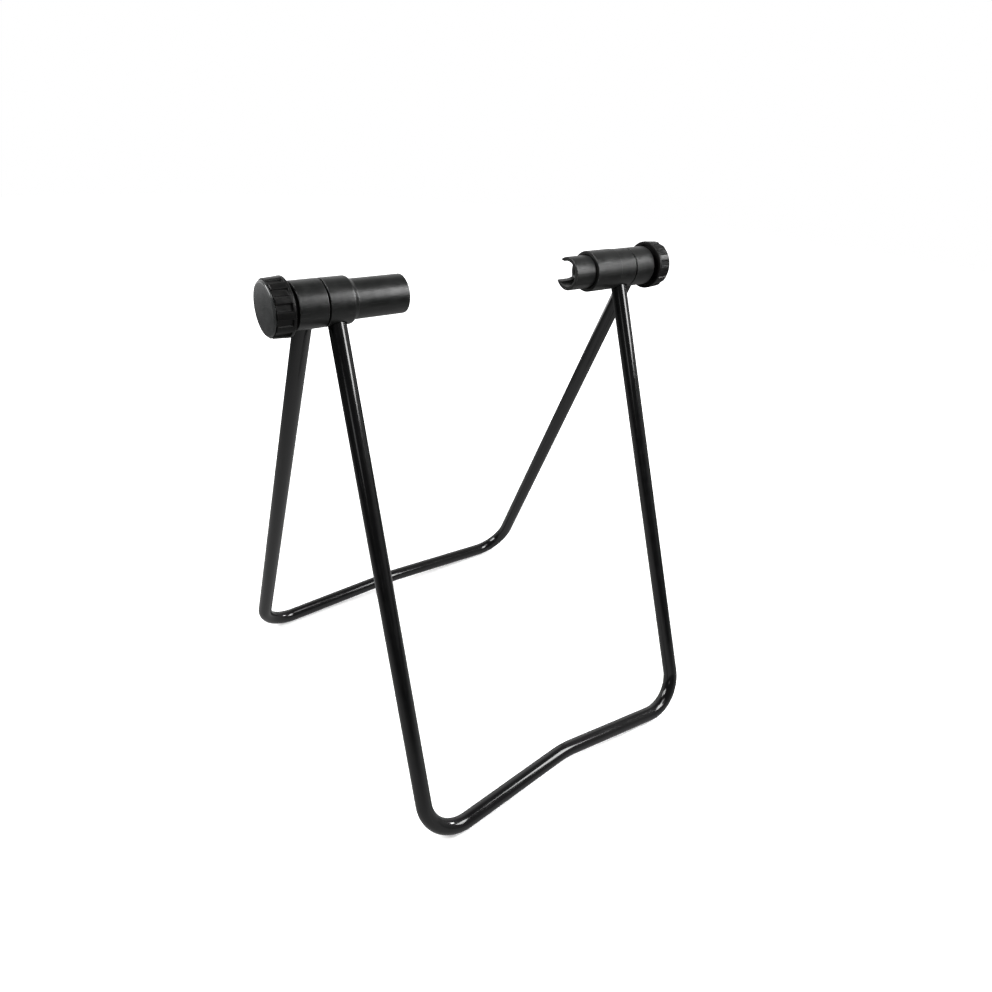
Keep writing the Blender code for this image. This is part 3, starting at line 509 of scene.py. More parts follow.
def add_tube(name, toward, line, ride, nodes):
    """Hollow bent tube p(t) + radius (cos a N + sin a n), closed round both of its ends.

    N is the centre line's normal in the frame's plane and n that plane's own normal. The
    paint's pattern lies on (length along the tube, radius cos a, radius sin a)."""
    across = np.column_stack([line[:, 0], np.zeros(len(line)), np.zeros(len(line))])
    down = np.array([0.0, -toward * math.sin(LEG_SPLAY), math.cos(LEG_SPLAY)])
    centre = across + line[:, 1:2] * down + (0.0, 0.0, AXIS_HEIGHT)
    tangent = np.gradient(centre, axis=0)
    tangent /= np.linalg.norm(tangent, axis=1)[:, None]
    plane = np.cross((1.0, 0.0, 0.0), down)
    normal = np.cross(tangent, plane)
    length = np.concatenate([[0.0], np.cumsum(np.linalg.norm(np.diff(centre, axis=0), axis=1))])
    order = np.concatenate([np.arange(len(line)), np.arange(len(line))[::-1]])
    radius = np.repeat([TUBE_RADIUS, TUBE_BORE], len(line))[:, None]
    radius[[0, len(line) - 1]] -= TUBE_LIP
    angle = circle(TUBE_AROUND)
    wide, deep = radius * np.cos(angle), radius * np.sin(angle)
    points = (centre[order][:, None, :] + wide[..., None] * normal[order][:, None, :]
              + deep[..., None] * plane)
    straight = np.stack(np.broadcast_arrays(length[order][:, None], wide, deep), axis=-1)
    add_surface(name, points, 0.0, None, ride, nodes, PAINT, straight)


add_tube("front_tube", -1, centre_line(FRONT_LEG, FRONT_BAR_RISE), "front_assembly",
         ["front_frame"])
add_tube("back_tube", 1, centre_line(BACK_LEG, BACK_BAR_RISE), "back_assembly",
         ["back_frame"])


# Barrels


def leg_seat(s, r, theta, toward, leg):
    """Radius with a narrow groove sunk round the leg: r - 3 mm where the distance to the
    leg's line is below 6.3 mm, smooth to r at 6.9 mm."""
    leg_x, foot_half_width = leg
    spread = (foot_half_width - leg_x) / LOWEST_DEPTH
    line = np.array([spread, toward * math.sin(LEG_SPLAY), -math.cos(LEG_SPLAY)])
    line /= np.linalg.norm(line)
    point = np.stack([s - leg_x, r * np.cos(theta), r * np.sin(theta)], axis=-1)
    distance = np.linalg.norm(np.cross(point, line), axis=-1)
    sunk = (1.0 - smooth(SEAT[0], SEAT[1], distance)) * (point @ line > 0)
    return r - SEAT[2] * sunk


def stop_mask(r, theta, travel, slack):
    """1 over the ring sector of the fold's stop, with soft sides that lie inside it."""
    start, end = STOP_ANGLES[0], STOP_ANGLES[1] + travel
    middle, half = (start + end) / 2, (end - start) / 2
    inner, outer = STOP_RADII[0] - slack, STOP_RADII[1] + slack
    off = np.abs(angle_gap(theta, middle)) - half - slack / STOP_RADII[0]
    return (smooth(inner, inner + STOP_SOFT, r) * (1.0 - smooth(outer - STOP_SOFT, outer, r))
            * (1.0 - smooth(-STOP_SOFT_ANGLE, 0.0, off)))


def with_lug(s, r, theta):
    """s with the stop's lug raised on a front collar's seam face."""
    face = np.abs(s - FRONT_SEAM) < TOUCH
    return np.where(face, s + STOP_REACH * stop_mask(r, theta, 0.0, 0.0), s)


def parting_line(r, theta):
    """Fine ridge 0.04 mm high where the mould's halves met, on top and underneath."""
    gap = np.minimum(np.abs(angle_gap(theta, math.pi / 2)),
                     np.abs(angle_gap(theta, -math.pi / 2))) * r
    return PARTING[0] * np.exp(-(gap / PARTING[1]) ** 2)


def grid_of(corners, around=AROUND):
    """Profile and angles as whole grids: s, r, edge and theta."""
    s, r, share, edge = profile(corners)
    theta = circle(around)
    r = hexagon(r[:, None], share[:, None], theta)
    s, r, edge, theta = np.broadcast_arrays(s[:, None], r, edge[:, None], theta)
    return s.copy(), r.copy(), edge.copy(), theta


def seam_corners(radius):
    """Corners from the spigot's bore over the seam face to the collar's outer edge."""
    return [(SPIGOT_END, SCREW_BORE), (SPIGOT_END, SPIGOT_RADIUS, 0.0003),
            (FRONT_SEAM, SPIGOT_RADIUS, 0.0, FACE_STEP), (FRONT_SEAM, radius, 0.0004, FINE)]


def add_left_cup():
    """Collar and cup in one moulding: r falls by the half cosine 1.15 mm (1 + cos) over the
    taper; the hexagon pocket for the nut opens in the bore's floor."""
    step = COLLAR_RADIUS - CUP_RADIUS
    corners = seam_corners(COLLAR_RADIUS)
    corners.append((COLLAR_START + 0.0002, COLLAR_RADIUS))
    corners += [(COLLAR_START - CUP_TAPER * share,
                 CUP_RADIUS + step * (1 + math.cos(math.pi * share)) / 2)
                for share in np.linspace(0.0, 1.0, 13)]
    corners += [(LEFT_MOUTH, CUP_RADIUS, CUP_EDGE), (LEFT_MOUTH, CUP_BORE, 0.0004),
                (CUP_FLOOR, CUP_BORE, 0.0003), (CUP_FLOOR, POCKET_HEXAGON, 0.0, COARSE, 1.0),
                (CUP_POCKET_END, POCKET_HEXAGON, 0.0, COARSE, 1.0),
                (CUP_POCKET_END, SCREW_BORE, 0.0, COARSE * 3)]
    s, r, edge, theta = grid_of(corners)
    outside = (r > CUP_RADIUS - 0.001) & (s < FRONT_SEAM - TOUCH)
    collar = leg_seat(s, r, theta, -1, FRONT_LEG) + parting_line(r, theta)
    r = np.where(outside, collar, r)
    s = with_lug(s, r, theta)
    add_surface("left_cup_moulding", barrel_points("left", s, r, theta), edge, None,
                "front_assembly", ["left_front_cup"], BARREL)


def add_right_guide():
    """Collar and guide housing in one moulding, with the key as a ridge along the bore."""
    corners = seam_corners(COLLAR_RADIUS)
    corners += [(COLLAR_START, COLLAR_RADIUS), (COLLAR_START, GUIDE_RADIUS, 0.0003),
                (GUIDE_MOUTH, GUIDE_RADIUS, 0.0007), (GUIDE_MOUTH, GUIDE_BORE, 0.0004),
                (GUIDE_FLOOR, GUIDE_BORE), (GUIDE_FLOOR, RING_RECESS[1]), RING_RECESS,
                (RING_RECESS[0], SCREW_BORE, 0.0, COARSE * 3)]
    s, r, edge, theta = grid_of(corners)
    outside = (r > GUIDE_BORE + 0.001) & (s < FRONT_SEAM - TOUCH) & (s > GUIDE_MOUTH)
    collar = leg_seat(s, r, theta, -1, FRONT_LEG) + parting_line(r, theta)
    bore = (np.abs(r - GUIDE_BORE) < TOUCH) & (s > KEY[0] - 0.001)
    lateral = np.abs(GUIDE_BORE * angle_gap(theta, KEY_ANGLE))
    key = (KEY[2] * smooth(KEY[0] + KEY_RUN_IN[0], KEY[0] + KEY_RUN_IN[1], s)
           * (1.0 - smooth(KEY[1] / 2 - KEY_SOFT, KEY[1] / 2, lateral)))
    r = np.where(outside, collar, np.where(bore, r - key, r))
    s = with_lug(s, r, theta)
    add_surface("right_guide_moulding", barrel_points("right", s, r, theta), edge, None,
                "front_assembly", ["right_front_collar"], BARREL)


def add_back_collar(side):
    """Short moulding round the spigot, with the stop's slot sunk in its seam face."""
    corners = [(COLLAR_END, COLLAR_BORE, 0.0002),
               (COLLAR_END, COLLAR_RADIUS, 0.0005, FINE),
               (BACK_SEAM, COLLAR_RADIUS, 0.0004, FACE_STEP),
               (BACK_SEAM, COLLAR_BORE)]
    s, r, edge, theta = grid_of(corners)
    outside = (r > COLLAR_BORE + 0.004) & (s > BACK_SEAM + TOUCH) & (s < COLLAR_END)
    collar = leg_seat(s, r, theta, 1, BACK_LEG) + parting_line(r, theta)
    r = np.where(outside, collar, r)
    face = np.abs(s - BACK_SEAM) < TOUCH
    s = np.where(face, s + STOP_DEPTH * stop_mask(r, theta, STOP_TRAVEL, HIDDEN_GAP), s)
    add_surface(side + "_back_collar_moulding", barrel_points(side, s, r, theta), edge, None,
                "back_assembly", [side + "_back_collar"], BARREL)


def notch_rim():
    """The sleeve's open end as one closed line: theta on the outer wall, theta in the
    bore, both from the notch's middle, and s.

    It runs round the mouth, along one side of the notch, round its root and back; beside
    the notch r sin(theta) is the width across it, the same on both walls."""
    around, along, turned, across = NOTCH_POINTS
    outer_edge, inner_edge = (math.asin(NOTCH_HALF_WIDTH / radius)
                              for radius in (SLEEVE_RADIUS, CUP_BORE))
    mouth = np.linspace(outer_edge, 2 * math.pi - outer_edge, around)
    side = np.linspace(SLEEVE_MOUTH, NOTCH_ROOT - NOTCH_CORNER, along)[1:]
    turn = np.linspace(0.0, math.pi / 2, turned)[1:]
    root = np.linspace(-1.0, 1.0, across)[1:-1] * (NOTCH_HALF_WIDTH - NOTCH_CORNER)
    corner_s = NOTCH_ROOT - NOTCH_CORNER + NOTCH_CORNER * np.sin(turn)
    corner_w = NOTCH_HALF_WIDTH - NOTCH_CORNER + NOTCH_CORNER * np.cos(turn)
    side_w = np.full(len(side), NOTCH_HALF_WIDTH)
    s = np.concatenate([np.full(around, SLEEVE_MOUTH), side, corner_s,
                        np.full(len(root), NOTCH_ROOT), corner_s[::-1], side[::-1]])
    width = np.concatenate([-side_w, -corner_w, root, corner_w[::-1], side_w])
    spread = (math.pi - inner_edge) / (math.pi - outer_edge)
    outer, inner = (np.concatenate([start, np.arcsin(width / radius) + 2 * math.pi])
                    for start, radius in ((mouth, SLEEVE_RADIUS),
                                          (math.pi + (mouth - math.pi) * spread, CUP_BORE)))
    return outer, inner, s


def ring_angles(gap, s, radius, fan):
    """Angles of the even ring behind the notch that the rim's points are joined to: the
    root's points stay, and those along its sides spread out by fan towards the mouth."""
    edge_angle = math.asin(NOTCH_HALF_WIDTH / radius)
    root_angle = math.asin((NOTCH_HALF_WIDTH - NOTCH_CORNER) / radius)
    reach = np.clip((NOTCH_ROOT - s) / (NOTCH_ROOT - SLEEVE_MOUTH), 0.0, 1.0)
    beside = np.abs(gap) <= edge_angle + SAME
    side_place = root_angle + (edge_angle + fan - root_angle) * reach
    moved = np.where(beside & (reach > 0), np.sign(gap) * side_place, gap)
    beyond = (np.abs(gap) - edge_angle) / (math.pi - edge_angle)
    outer = edge_angle + fan + (math.pi - edge_angle - fan) * beyond
    return np.where(beside, moved, np.sign(gap) * outer)


def inward_directions(gap, s, radius):
    """Unit directions (round the wall, along it) from the rim's points into the wall,
    square to the rim's mean direction there."""
    flat = np.column_stack([radius * np.unwrap(gap), s])
    ahead = np.roll(flat, -1, axis=0) - flat
    ahead[:, 0] = (ahead[:, 0] + math.pi * radius) % (2 * math.pi * radius) - math.pi * radius
    ahead /= np.linalg.norm(ahead, axis=1)[:, None]
    along = ahead + np.roll(ahead, 1, axis=0)
    along /= np.linalg.norm(along, axis=1)[:, None]
    inward = np.column_stack([along[:, 1], -along[:, 0]])
    inward[inward[:, 1] < -SAME] *= -1.0
    # Beside the notch the material lies away from its middle.
    beside = (s > SLEEVE_MOUTH + SAME) & (s < NOTCH_ROOT - SAME)
    inward[beside & (inward[:, 0] * np.sign(gap) < 0)] *= -1.0
    return inward


def about_axis(s, gap, r):
    """Points (s, r cos(gap), r sin(gap)) about the fold line, before the notch's tilt."""
    s, gap, r = np.broadcast_arrays(s, gap, r)
    return np.stack([s, r * np.cos(gap), r * np.sin(gap)], axis=-1)


def add_sleeve():
    """Slotted sliding cup: grid from the rim to an even ring, r constant on both walls,
    the rim's strip rounded by (1-u)^2 A + 2u(1-u) C + u^2 D at both of its edges."""
    theta, inner, s = notch_rim()
    ring_s = NOTCH_ROOT + NOTCH_APRON
    outer_gap, inner_gap = angle_gap(theta, 0.0), angle_gap(inner, 0.0)
    outer_ring = ring_angles(outer_gap, s, SLEEVE_RADIUS, SHEET_FANS[0])
    inner_ring = ring_angles(inner_gap, s, CUP_BORE, SHEET_FANS[1])
    outer_in = inward_directions(outer_gap, s, SLEEVE_RADIUS)
    inner_in = inward_directions(inner_gap, s, CUP_BORE)
    beside = smooth(SLEEVE_MOUTH, SLEEVE_MOUTH + NOTCH_BLEND, s)
    outer_cut = CUP_EDGE + (NOTCH_EDGE - CUP_EDGE) * beside
    inner_cut = np.full(len(s), SLEEVE_INNER_EDGE)
    share = np.linspace(0.0, 1.0, SHEET_ROWS)[:, None] ** SHEET_CROWDING

    def sheet(radius, gap, ring, inward, cut):
        """Rows of one wall from its rounding to the even ring."""
        start_gap = gap + inward[:, 0] * cut / radius
        start_s = s + inward[:, 1] * cut
        return about_axis(start_s + (ring_s - start_s) * share,
                          start_gap + angle_gap(ring, start_gap) * share, radius)

    def corner_rows(radius, gap, inward, cut, other_radius, other_gap):
        """Rounding between a wall and the rim's strip, and its edge mask."""
        tip = about_axis(s, gap, radius)
        start = about_axis(s + inward[:, 1] * cut, gap + inward[:, 0] * cut / radius, radius)
        span = about_axis(s, other_gap, other_radius) - tip
        length = np.linalg.norm(span, axis=1)[:, None]
        end = tip + span / length * np.minimum(cut[:, None], STRIP_SHARE * length)
        u = np.linspace(0.0, 1.0, ROUNDING_STEPS + 1)[1:, None, None]
        rows = (1 - u) ** 2 * start + 2 * u * (1 - u) * tip + u ** 2 * end
        return rows, np.broadcast_to((4 * u * (1 - u))[..., 0], rows.shape[:2])

    outer_rows = sheet(SLEEVE_RADIUS, outer_gap, outer_ring, outer_in, outer_cut)
    inner_rows = sheet(CUP_BORE, inner_gap, inner_ring, inner_in, inner_cut)
    outer_corner, outer_mask = corner_rows(SLEEVE_RADIUS, outer_gap, outer_in, outer_cut,
                                           CUP_BORE, inner_gap)
    inner_corner, inner_mask = corner_rows(CUP_BORE, inner_gap, inner_in, inner_cut,
                                           SLEEVE_RADIUS, outer_gap)
    # The rest is turned: outer wall to the back, back face, pocket, floor and bore.
    turned_s = ring_s + SLEEVE_TURNED
    back = [(SLEEVE_BACK, SLEEVE_RADIUS, 0.0004, SLEEVE_TURNED),
            (SLEEVE_BACK, POCKET_HEXAGON, 0.0, COARSE, 1.0),
            (SLEEVE_POCKET, POCKET_HEXAGON, 0.0, COARSE, 1.0),
            (SLEEVE_POCKET, SCREW_BORE),
            (SLEEVE_FLOOR, SCREW_BORE, 0.0002, SLEEVE_TURNED),
            (SLEEVE_FLOOR, CUP_BORE, 0.0003),
            (turned_s, CUP_BORE, 0.0, NO_ROWS),
            (turned_s, SLEEVE_RADIUS)]
    back = np.array(profile(back))
    first = (np.abs(back[1] - SLEEVE_RADIUS) < SAME) & (np.abs(back[0] - turned_s) < SAME)
    back = np.roll(back, -int(np.argmax(first)), axis=1)
    front_face = ((back[0] < turned_s + 0.0001) & (back[1] < SLEEVE_RADIUS - 1e-6)
                  & (back[1] > CUP_BORE + 1e-6))
    back_s, back_r, back_share, back_edge = back[:, ~front_face]
    # The turn from the outer ring's angles to the inner ones' happens on the back face.
    moved = np.cumsum(np.abs(back_s - SLEEVE_BACK) < SAME)
    moved = (moved / moved[-1])[:, None]
    gap = outer_ring + angle_gap(inner_ring, outer_ring) * moved
    radius = hexagon(back_r[:, None], back_share[:, None], gap + NOTCH_ANGLE)
    lateral = np.abs(radius * angle_gap(gap + NOTCH_ANGLE, KEY_ANGLE))
    outer_wall = (back_r[:, None] > SLEEVE_RADIUS - 0.0005) & (moved < 0.5)
    keyway = KEYWAY[2] * (1.0 - smooth(KEYWAY[1] / 2, KEYWAY[1] / 2 + KEYWAY_SOFT[0], lateral))
    keyway = keyway * smooth(KEYWAY[0], KEYWAY[0] + KEYWAY_SOFT[1], back_s[:, None])
    back_rows = about_axis(back_s[:, None], gap, radius - np.where(outer_wall, keyway, 0.0))
    points = np.concatenate([outer_rows, back_rows, inner_rows[::-1], inner_corner,
                             outer_corner[::-1]])
    edge = np.concatenate([np.zeros(outer_rows.shape[:2]),
                           np.broadcast_to(back_edge[:, None], gap.shape),
                           np.zeros(inner_rows.shape[:2]), inner_mask, outer_mask[::-1]])
    turn = np.array([[math.cos(NOTCH_ANGLE), -math.sin(NOTCH_ANGLE)],
                     [math.sin(NOTCH_ANGLE), math.cos(NOTCH_ANGLE)]])
    points = np.concatenate([points[..., :1], points[..., 1:] @ turn.T], axis=-1)
    points += (0.0, 0.0, AXIS_HEIGHT)
    add_surface("right_sleeve_moulding", points, edge, None, "right_sleeve",
                ["right_slotted_sleeve"], BARREL)


add_left_cup()
add_right_guide()
add_sleeve()
for barrel_side in SIDES:
    add_back_collar(barrel_side)


# Knobs

# Rubbed share of their edges
GROOVE_WEAR = 0.6
CAP_WEAR = 0.5
HEAD_WEAR = 0.4


def add_knob(side):
    """Knob with twelve grooves: r is held to 16.9 mm / cos(gap) inside a groove of half
    width 2.25 mm, with soft sides and a soft inner end."""
    corners = [(KNOB_END, POCKET_RADIUS),
               (KNOB_END, KNOB_END_RADIUS, 0.0006, GRIP_STEP),
               (KNOB_START + KNOB_RIM, KNOB_RADIUS, 0.0003, GRIP_STEP),
               (KNOB_START, KNOB_RADIUS, 0.0008), (KNOB_START, RECESS_RADIUS, 0.0003),
               (KNOB_WEB, RECESS_RADIUS, 0.0003), (KNOB_WEB, HUB_RADIUS, 0.0003),
               (HUB_FACE, HUB_RADIUS, 0.0003), (HUB_FACE, SCREW_BORE),
               (HEAD[0] - HIDDEN_GAP, SCREW_BORE),
               (HEAD[0] - HIDDEN_GAP, POCKET_HEXAGON, 0.0, COARSE, 1.0),
               (POCKET_FLOOR, POCKET_HEXAGON, 0.0, COARSE, 1.0), (POCKET_FLOOR, POCKET_RADIUS)]
    s, r, edge, theta = grid_of(corners, KNOB_AROUND)
    spacing = 2 * math.pi / GROOVES
    gap = (theta % spacing) - spacing / 2
    lateral = np.abs(r * np.sin(gap))
    floor = GROOVE_FLOOR / np.cos(gap)
    inside = (1.0 - smooth(GROOVE_HALF_WIDTH - GROOVE_SOFT, GROOVE_HALF_WIDTH + GROOVE_SOFT,
                           lateral)) * smooth(*GROOVE_START, s)
    groove_edge = 4 * inside * (1.0 - inside) * (r > floor)
    r = r - np.maximum(0.0, r - floor) * inside
    edge = np.maximum(edge, GROOVE_WEAR * groove_edge)
    add_surface(side + "_ribbed_knob", barrel_points(side, s, r, theta), edge, None,
                side + "_knob", [side + "_knob"], KNOB)


def add_cap(side):
    """Dome s = apex - h (r / r0)^2 that runs into the rim's arc, and below it the rim's
    face, the skirt in the knob's pocket and the hollow."""
    shoulder_r = CAP_RADIUS - CAP_ROUNDING * (1.0 - math.cos(CAP_SHOULDER))
    shoulder_s = CAP_START + CAP_RIM + CAP_ROUNDING * math.sin(CAP_SHOULDER)
    share = np.linspace(0.0, 1.0, CAP_ROWS[0])[1:]
    dome = np.column_stack([CAP_APEX - (CAP_APEX - shoulder_s) * share ** 2,
                            shoulder_r * share, 0 * share])
    angle = np.linspace(CAP_SHOULDER, 0.0, CAP_ROWS[1])[1:]
    arc = np.column_stack([CAP_START + CAP_RIM + CAP_ROUNDING * np.sin(angle),
                           CAP_RADIUS - CAP_ROUNDING * (1.0 - np.cos(angle)),
                           CAP_WEAR * np.sin(2 * angle)])
    skirt, bevel = CAP_SKIRT[0], SKIRT_BEVEL
    skirt_inner, skirt_end = skirt - CAP_WALL, CAP_START - CAP_SKIRT[1]
    ceiling, middle = CAP_CEILING
    lower = [(CAP_START + CAP_BEVEL, CAP_RADIUS, 0.0),
             (CAP_START, CAP_RADIUS - CAP_BEVEL, CAP_WEAR),
             (CAP_START, skirt + bevel, 0.0), (CAP_START - bevel, skirt, 0.0),
             (skirt_end + bevel, skirt, 0.0), (skirt_end, skirt - bevel, 0.0),
             (skirt_end, skirt_inner + bevel, 0.0), (skirt_end + bevel, skirt_inner, 0.0),
             (ceiling - CAP_FILLET, skirt_inner, 0.0), (ceiling, skirt_inner - CAP_FILLET, 0.0),
             (CAP_APEX - CAP_WALL - bevel, middle, 0.0)]
    rows = np.concatenate([dome, arc, np.array(lower)])
    points = barrel_points(side, rows[:, :1], rows[:, 1:2], circle(CAP_AROUND))
    poles = np.array([(SIDES[side] * s, 0.0, AXIS_HEIGHT)
                      for s in (CAP_APEX, CAP_APEX - CAP_WALL)])
    add_surface(side + "_knob_dome", points, rows[:, 2:3], poles, side + "_knob",
                [side + "_knob_cap"], CAP)


# Fasteners


def add_screw(name, side, tip, groove, ride, node):
    """Screw r = 4 mm - depth |2 frac(s / pitch - theta / 2 pi) - 1|, a right-hand thread
    that fades out at the head, with a chamfered tip, a ring groove where one is given, and
    a chamfered hexagon head."""
    end, top = HEAD
    count = int((end - tip) / THREAD_PITCH * THREAD_ROWS)
    s = np.linspace(tip + SCREW_SOFT, end - SCREW_SOFT, count)[:, None]
    theta = circle(SCREW_AROUND)
    turn = (s / THREAD_PITCH - theta * SIDES[side] / (2 * math.pi)) % 1.0
    depth = THREAD_DEPTH * smooth(end, end - THREAD_RUN_OUT, s)
    r = SCREW_RADIUS - depth * np.abs(2 * turn - 1.0)
    r = np.minimum(r, SCREW_RADIUS - SCREW_CHAMFER + np.maximum(0.0, s - tip))
    if groove:
        start, stop, floor = groove
        cut = smooth(start, start + SCREW_SOFT, s) * (1 - smooth(stop - SCREW_SOFT, stop, s))
        r = r + (floor - r) * cut
    shaft = barrel_points(side, s, r, theta)
    head_s = np.array([end, end + HEAD_BEVEL, top - HEAD_BEVEL, top, top])[:, None]
    head_r = np.minimum(hexagon(HEXAGON_RADIUS, 1.0, theta), np.array(HEAD_LIMITS)[:, None])
    head = barrel_points(side, head_s, head_r, theta)
    points = np.concatenate([shaft, head])
    poles = np.array([(SIDES[side] * value, 0.0, AXIS_HEIGHT) for value in (tip, top)])
    edge = np.concatenate([np.zeros(shaft.shape[:2]), np.full(head.shape[:2], HEAD_WEAR)])
    add_surface(name, points, edge, poles, ride, [node], ZINC)


def add_nut(name, side, low, high, ride, node):
    """Hexagon nut with both of its faces chamfered: r is the least of the hexagon and a
    steep cone at each face."""
    depth, limit, edge = np.array(NUT_HALF).T
    s = np.concatenate([low + depth, high - depth[::-1], [high - NUT_LIP, low + NUT_LIP]])
    limit = np.concatenate([limit, limit[::-1], [SCREW_BORE, SCREW_BORE]])
    edge = np.concatenate([edge, edge[::-1], [0.0, 0.0]])
    theta = circle(NUT_AROUND)
    r = np.minimum(hexagon(HEXAGON_RADIUS, 1.0, theta), limit[:, None])
    add_surface(name, barrel_points(side, s[:, None], r, theta), edge[:, None], None, ride,
                [node], ZINC)


for knob_side in SIDES:
    add_knob(knob_side)
    add_cap(knob_side)
add_screw("left_clamp_thread", "left", LEFT_TIP, None, "left_knob", "left_clamp_screw")
add_screw("right_adjusting_thread", "right", RIGHT_TIP, RING_GROOVE, "right_knob",
          "right_adjusting_screw")
add_nut("left_cup_nut", "left", *LEFT_NUT, "front_assembly", "left_clamp_nut")
add_nut("right_sleeve_nut", "right", *RIGHT_NUT, "right_sleeve", "right_adjusting_nut")

for node_name, node_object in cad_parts.items():
    if "washer" in node_name:
        node_object.data.materials[0] = NYLON
    elif "pin" in node_name or "ring" in node_name:
        node_object.data.materials[0] = BARE_ZINC


# Floor, light and camera

WHITE = (1.0, 1.0, 1.0, 1.0)
FLOOR_RINGS = (0.1, 0.3, 0.6, 1.0, 1.5, 2.0, 2.6)
FLOOR_HEIGHT = -0.0003
FLOOR_GLOW = (0.35, 0.8, 0.30, 1.0)  # radii between which it grows, and its strengths
LIT_PAPER = (0.5, 0.6, 3.0)  # level in the middle, its radius and the fall's power
WALL_GLOW = (2.0, 1.165, 6.0)  # distance, level before the power, and the power
SOFT_LIGHT = 0.40
ROOM_LEVEL = 0.06
ROOM_SIDE = 0.40
ROOM_BACK = 1.0
LAMP_TARGET = Vector((0.0, 0.0, 0.25))
CAMERA_PLACE = (-0.3184, -0.4254, 0.4958)
CAMERA_ANGLES = (-38.42, 30.24)  # azimuth and elevation, degrees
CAMERA_ROLL = math.radians(4.63)
CAMERA_LENS = 26.98


def add_floor():
    """Flat disc just under the feet: white paper with the stand's shadow to the camera,
    and to other rays the glow 0.5 / (1 + (r / 0.6 m)^3) of paper lit in its middle,
    to which a bright wall behind adds 2.5 (y / 2 m)^6."""
    radius = np.array(FLOOR_RINGS)[:, None]
    theta = circle(FLOOR_AROUND)
    ring = np.stack(np.broadcast_arrays(radius * np.cos(theta), radius * np.sin(theta),
                                        FLOOR_HEIGHT + 0 * radius), axis=-1)
    count = ring.shape[1]
    index = np.arange(ring.shape[0] * count).reshape(-1, count)
    quads = np.stack([index[:-1], index[1:], np.roll(index[1:], -1, 1),
                      np.roll(index[:-1], -1, 1)], axis=-1).reshape(-1, 4)
    fan = np.column_stack([np.full(count, index.size), index[0], np.roll(index[0], -1)])
    vertices = np.concatenate([ring.reshape(-1, 3), [(0.0, 0.0, FLOOR_HEIGHT)]])
    mesh = bpy.data.meshes.new("floor")
    mesh.from_pydata(vertices, [], quads[..., ::-1].tolist() + fan[..., ::-1].tolist())
    material = bpy.data.materials.new("white_floor")
    material.use_nodes = True
    tree = material.node_tree
    tree.nodes.clear()
    place = add_node(tree, "ShaderNodeTexCoord").outputs["Object"]
    reach = add_node(tree, "ShaderNodeVectorMath", {0: place}, operation="LENGTH").outputs["Value"]
    paper = add_node(tree, "ShaderNodeBsdfDiffuse", {"Color": WHITE})
    glow = add_node(tree, "ShaderNodeEmission",
                    {"Color": WHITE, "Strength": ranged(tree, reach, *FLOOR_GLOW)})
    shown = add_node(tree, "ShaderNodeAddShader",
                     {0: paper.outputs["BSDF"], 1: glow.outputs["Emission"]})
    middle, radius, power = LIT_PAPER
    fall = calculate(tree, "POWER", calculate(tree, "DIVIDE", reach, radius), power)
    lit = calculate(tree, "DIVIDE", middle, calculate(tree, "ADD", fall, 1.0))
    distance, level, power = WALL_GLOW
    back = add_node(tree, "ShaderNodeSeparateXYZ", {"Vector": place}).outputs["Y"]
    wall = calculate(tree, "POWER", ranged(tree, back, 0.0, distance, 0.0, level), power)
    seen = add_node(tree, "ShaderNodeEmission",
                    {"Color": WHITE, "Strength": calculate(tree, "ADD", lit, wall)})
    blend = add_node(tree, "ShaderNodeMixShader",
                     {"Fac": add_node(tree, "ShaderNodeLightPath").outputs["Is Camera Ray"],
                      1: seen.outputs["Emission"], 2: shown.outputs["Shader"]})
    add_node(tree, "ShaderNodeOutputMaterial", {"Surface": blend.outputs["Shader"]})
    mesh.materials.append(material)
    floor = bpy.data.objects.new("floor", mesh)
    bpy.context.scene.collection.objects.link(floor)


def add_world():
    """White to the camera, one plain level of soft light, and for reflections a dark room
    that is lighter towards +X and has a white wall behind the stand."""
    world = bpy.data.worlds.new("studio")
    bpy.context.scene.world = world
    world.use_nodes = True
    tree = world.node_tree
    tree.nodes.clear()
    rays = add_node(tree, "ShaderNodeLightPath").outputs
    place = add_node(tree, "ShaderNodeTexCoord").outputs["Generated"]
    toward = add_node(tree, "ShaderNodeSeparateXYZ", {"Vector": place}).outputs
    side = ranged(tree, toward["X"], 0.0, 1.0, ROOM_LEVEL, ROOM_LEVEL + ROOM_SIDE)
    behind = ranged(tree, toward["Y"], 0.4, 1.0, 0.0, ROOM_BACK)
    soft = add_node(tree, "ShaderNodeMix",
                    {"Factor": rays["Is Glossy Ray"], "A": SOFT_LIGHT,
                     "B": calculate(tree, "ADD", side, behind)}, data_type="FLOAT")
    level = add_node(tree, "ShaderNodeMix",
                     {"Factor": rays["Is Camera Ray"], "A": soft.outputs["Result"], "B": 1.0},
                     data_type="FLOAT")
    background = add_node(tree, "ShaderNodeBackground",
                          {"Color": WHITE, "Strength": level.outputs["Result"]})
    add_node(tree, "ShaderNodeOutputWorld", {"Surface": background.outputs["Background"]})


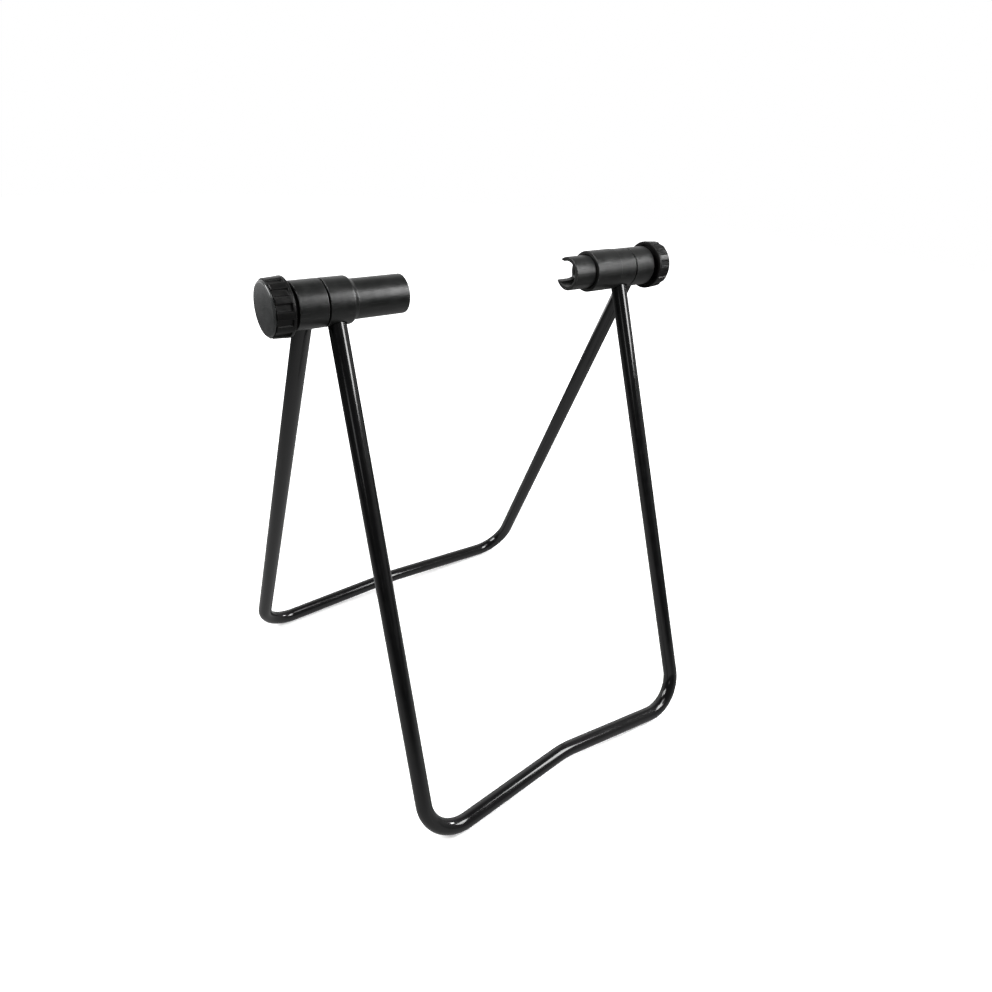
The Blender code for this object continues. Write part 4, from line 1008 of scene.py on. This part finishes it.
def direction(azimuth, elevation):
    """(sin a cos e, -cos a cos e, sin e) for two angles in degrees; azimuth 0 is -Y."""
    azimuth, elevation = math.radians(azimuth), math.radians(elevation)
    return Vector((math.sin(azimuth) * math.cos(elevation),
                   -math.cos(azimuth) * math.cos(elevation), math.sin(elevation)))


def add_lamp(name, azimuth, elevation, distance, size, radiance):
    """Rectangular soft light at a direction from the stand; its power is pi times its area
    times its radiance."""
    toward = direction(azimuth, elevation)
    lamp = bpy.data.lights.new(name, "AREA")
    lamp.shape = "RECTANGLE"
    lamp.size, lamp.size_y = size
    lamp.energy = math.pi * size[0] * size[1] * radiance
    item = bpy.data.objects.new(name, lamp)
    bpy.context.scene.collection.objects.link(item)
    item.location = LAMP_TARGET + toward * distance
    item.rotation_euler = (-toward).to_track_quat("-Z", "Y").to_euler()


def add_camera():
    """Camera fitted to the photograph, no shift."""
    back = direction(*CAMERA_ANGLES)
    level = Vector((0.0, 0.0, 1.0)).cross(back).normalized()
    up = back.cross(level)
    right = level * math.cos(CAMERA_ROLL) + up * math.sin(CAMERA_ROLL)
    above = up * math.cos(CAMERA_ROLL) - level * math.sin(CAMERA_ROLL)
    data = bpy.data.cameras.new("camera")
    data.lens = CAMERA_LENS
    data.sensor_width = 36.0
    data.clip_start = 0.01
    camera = bpy.data.objects.new("camera", data)
    bpy.context.scene.collection.objects.link(camera)
    turn = Matrix((right, above, back)).transposed().to_4x4()
    camera.matrix_world = Matrix.Translation(CAMERA_PLACE) @ turn
    bpy.context.scene.camera = camera


add_floor()
add_world()
add_lamp("near_softbox", 34.5, 35.5, 0.72, (0.26, 0.46), 13.6)
add_lamp("side_softbox", 76.0, 24.0, 2.0, (0.50, 0.34), 30.0)
add_lamp("top_softbox", -2.0, 66.0, 2.5, (0.70, 0.70), 6.0)
add_lamp("left_window", -55.0, 9.4, 2.0, (0.55, 0.26), 1.2)
add_lamp("back_softbox", -112.0, 40.0, 1.3, (0.80, 0.60), 12.0)
add_camera()
bpy.context.scene.view_settings.view_transform = "Standard"
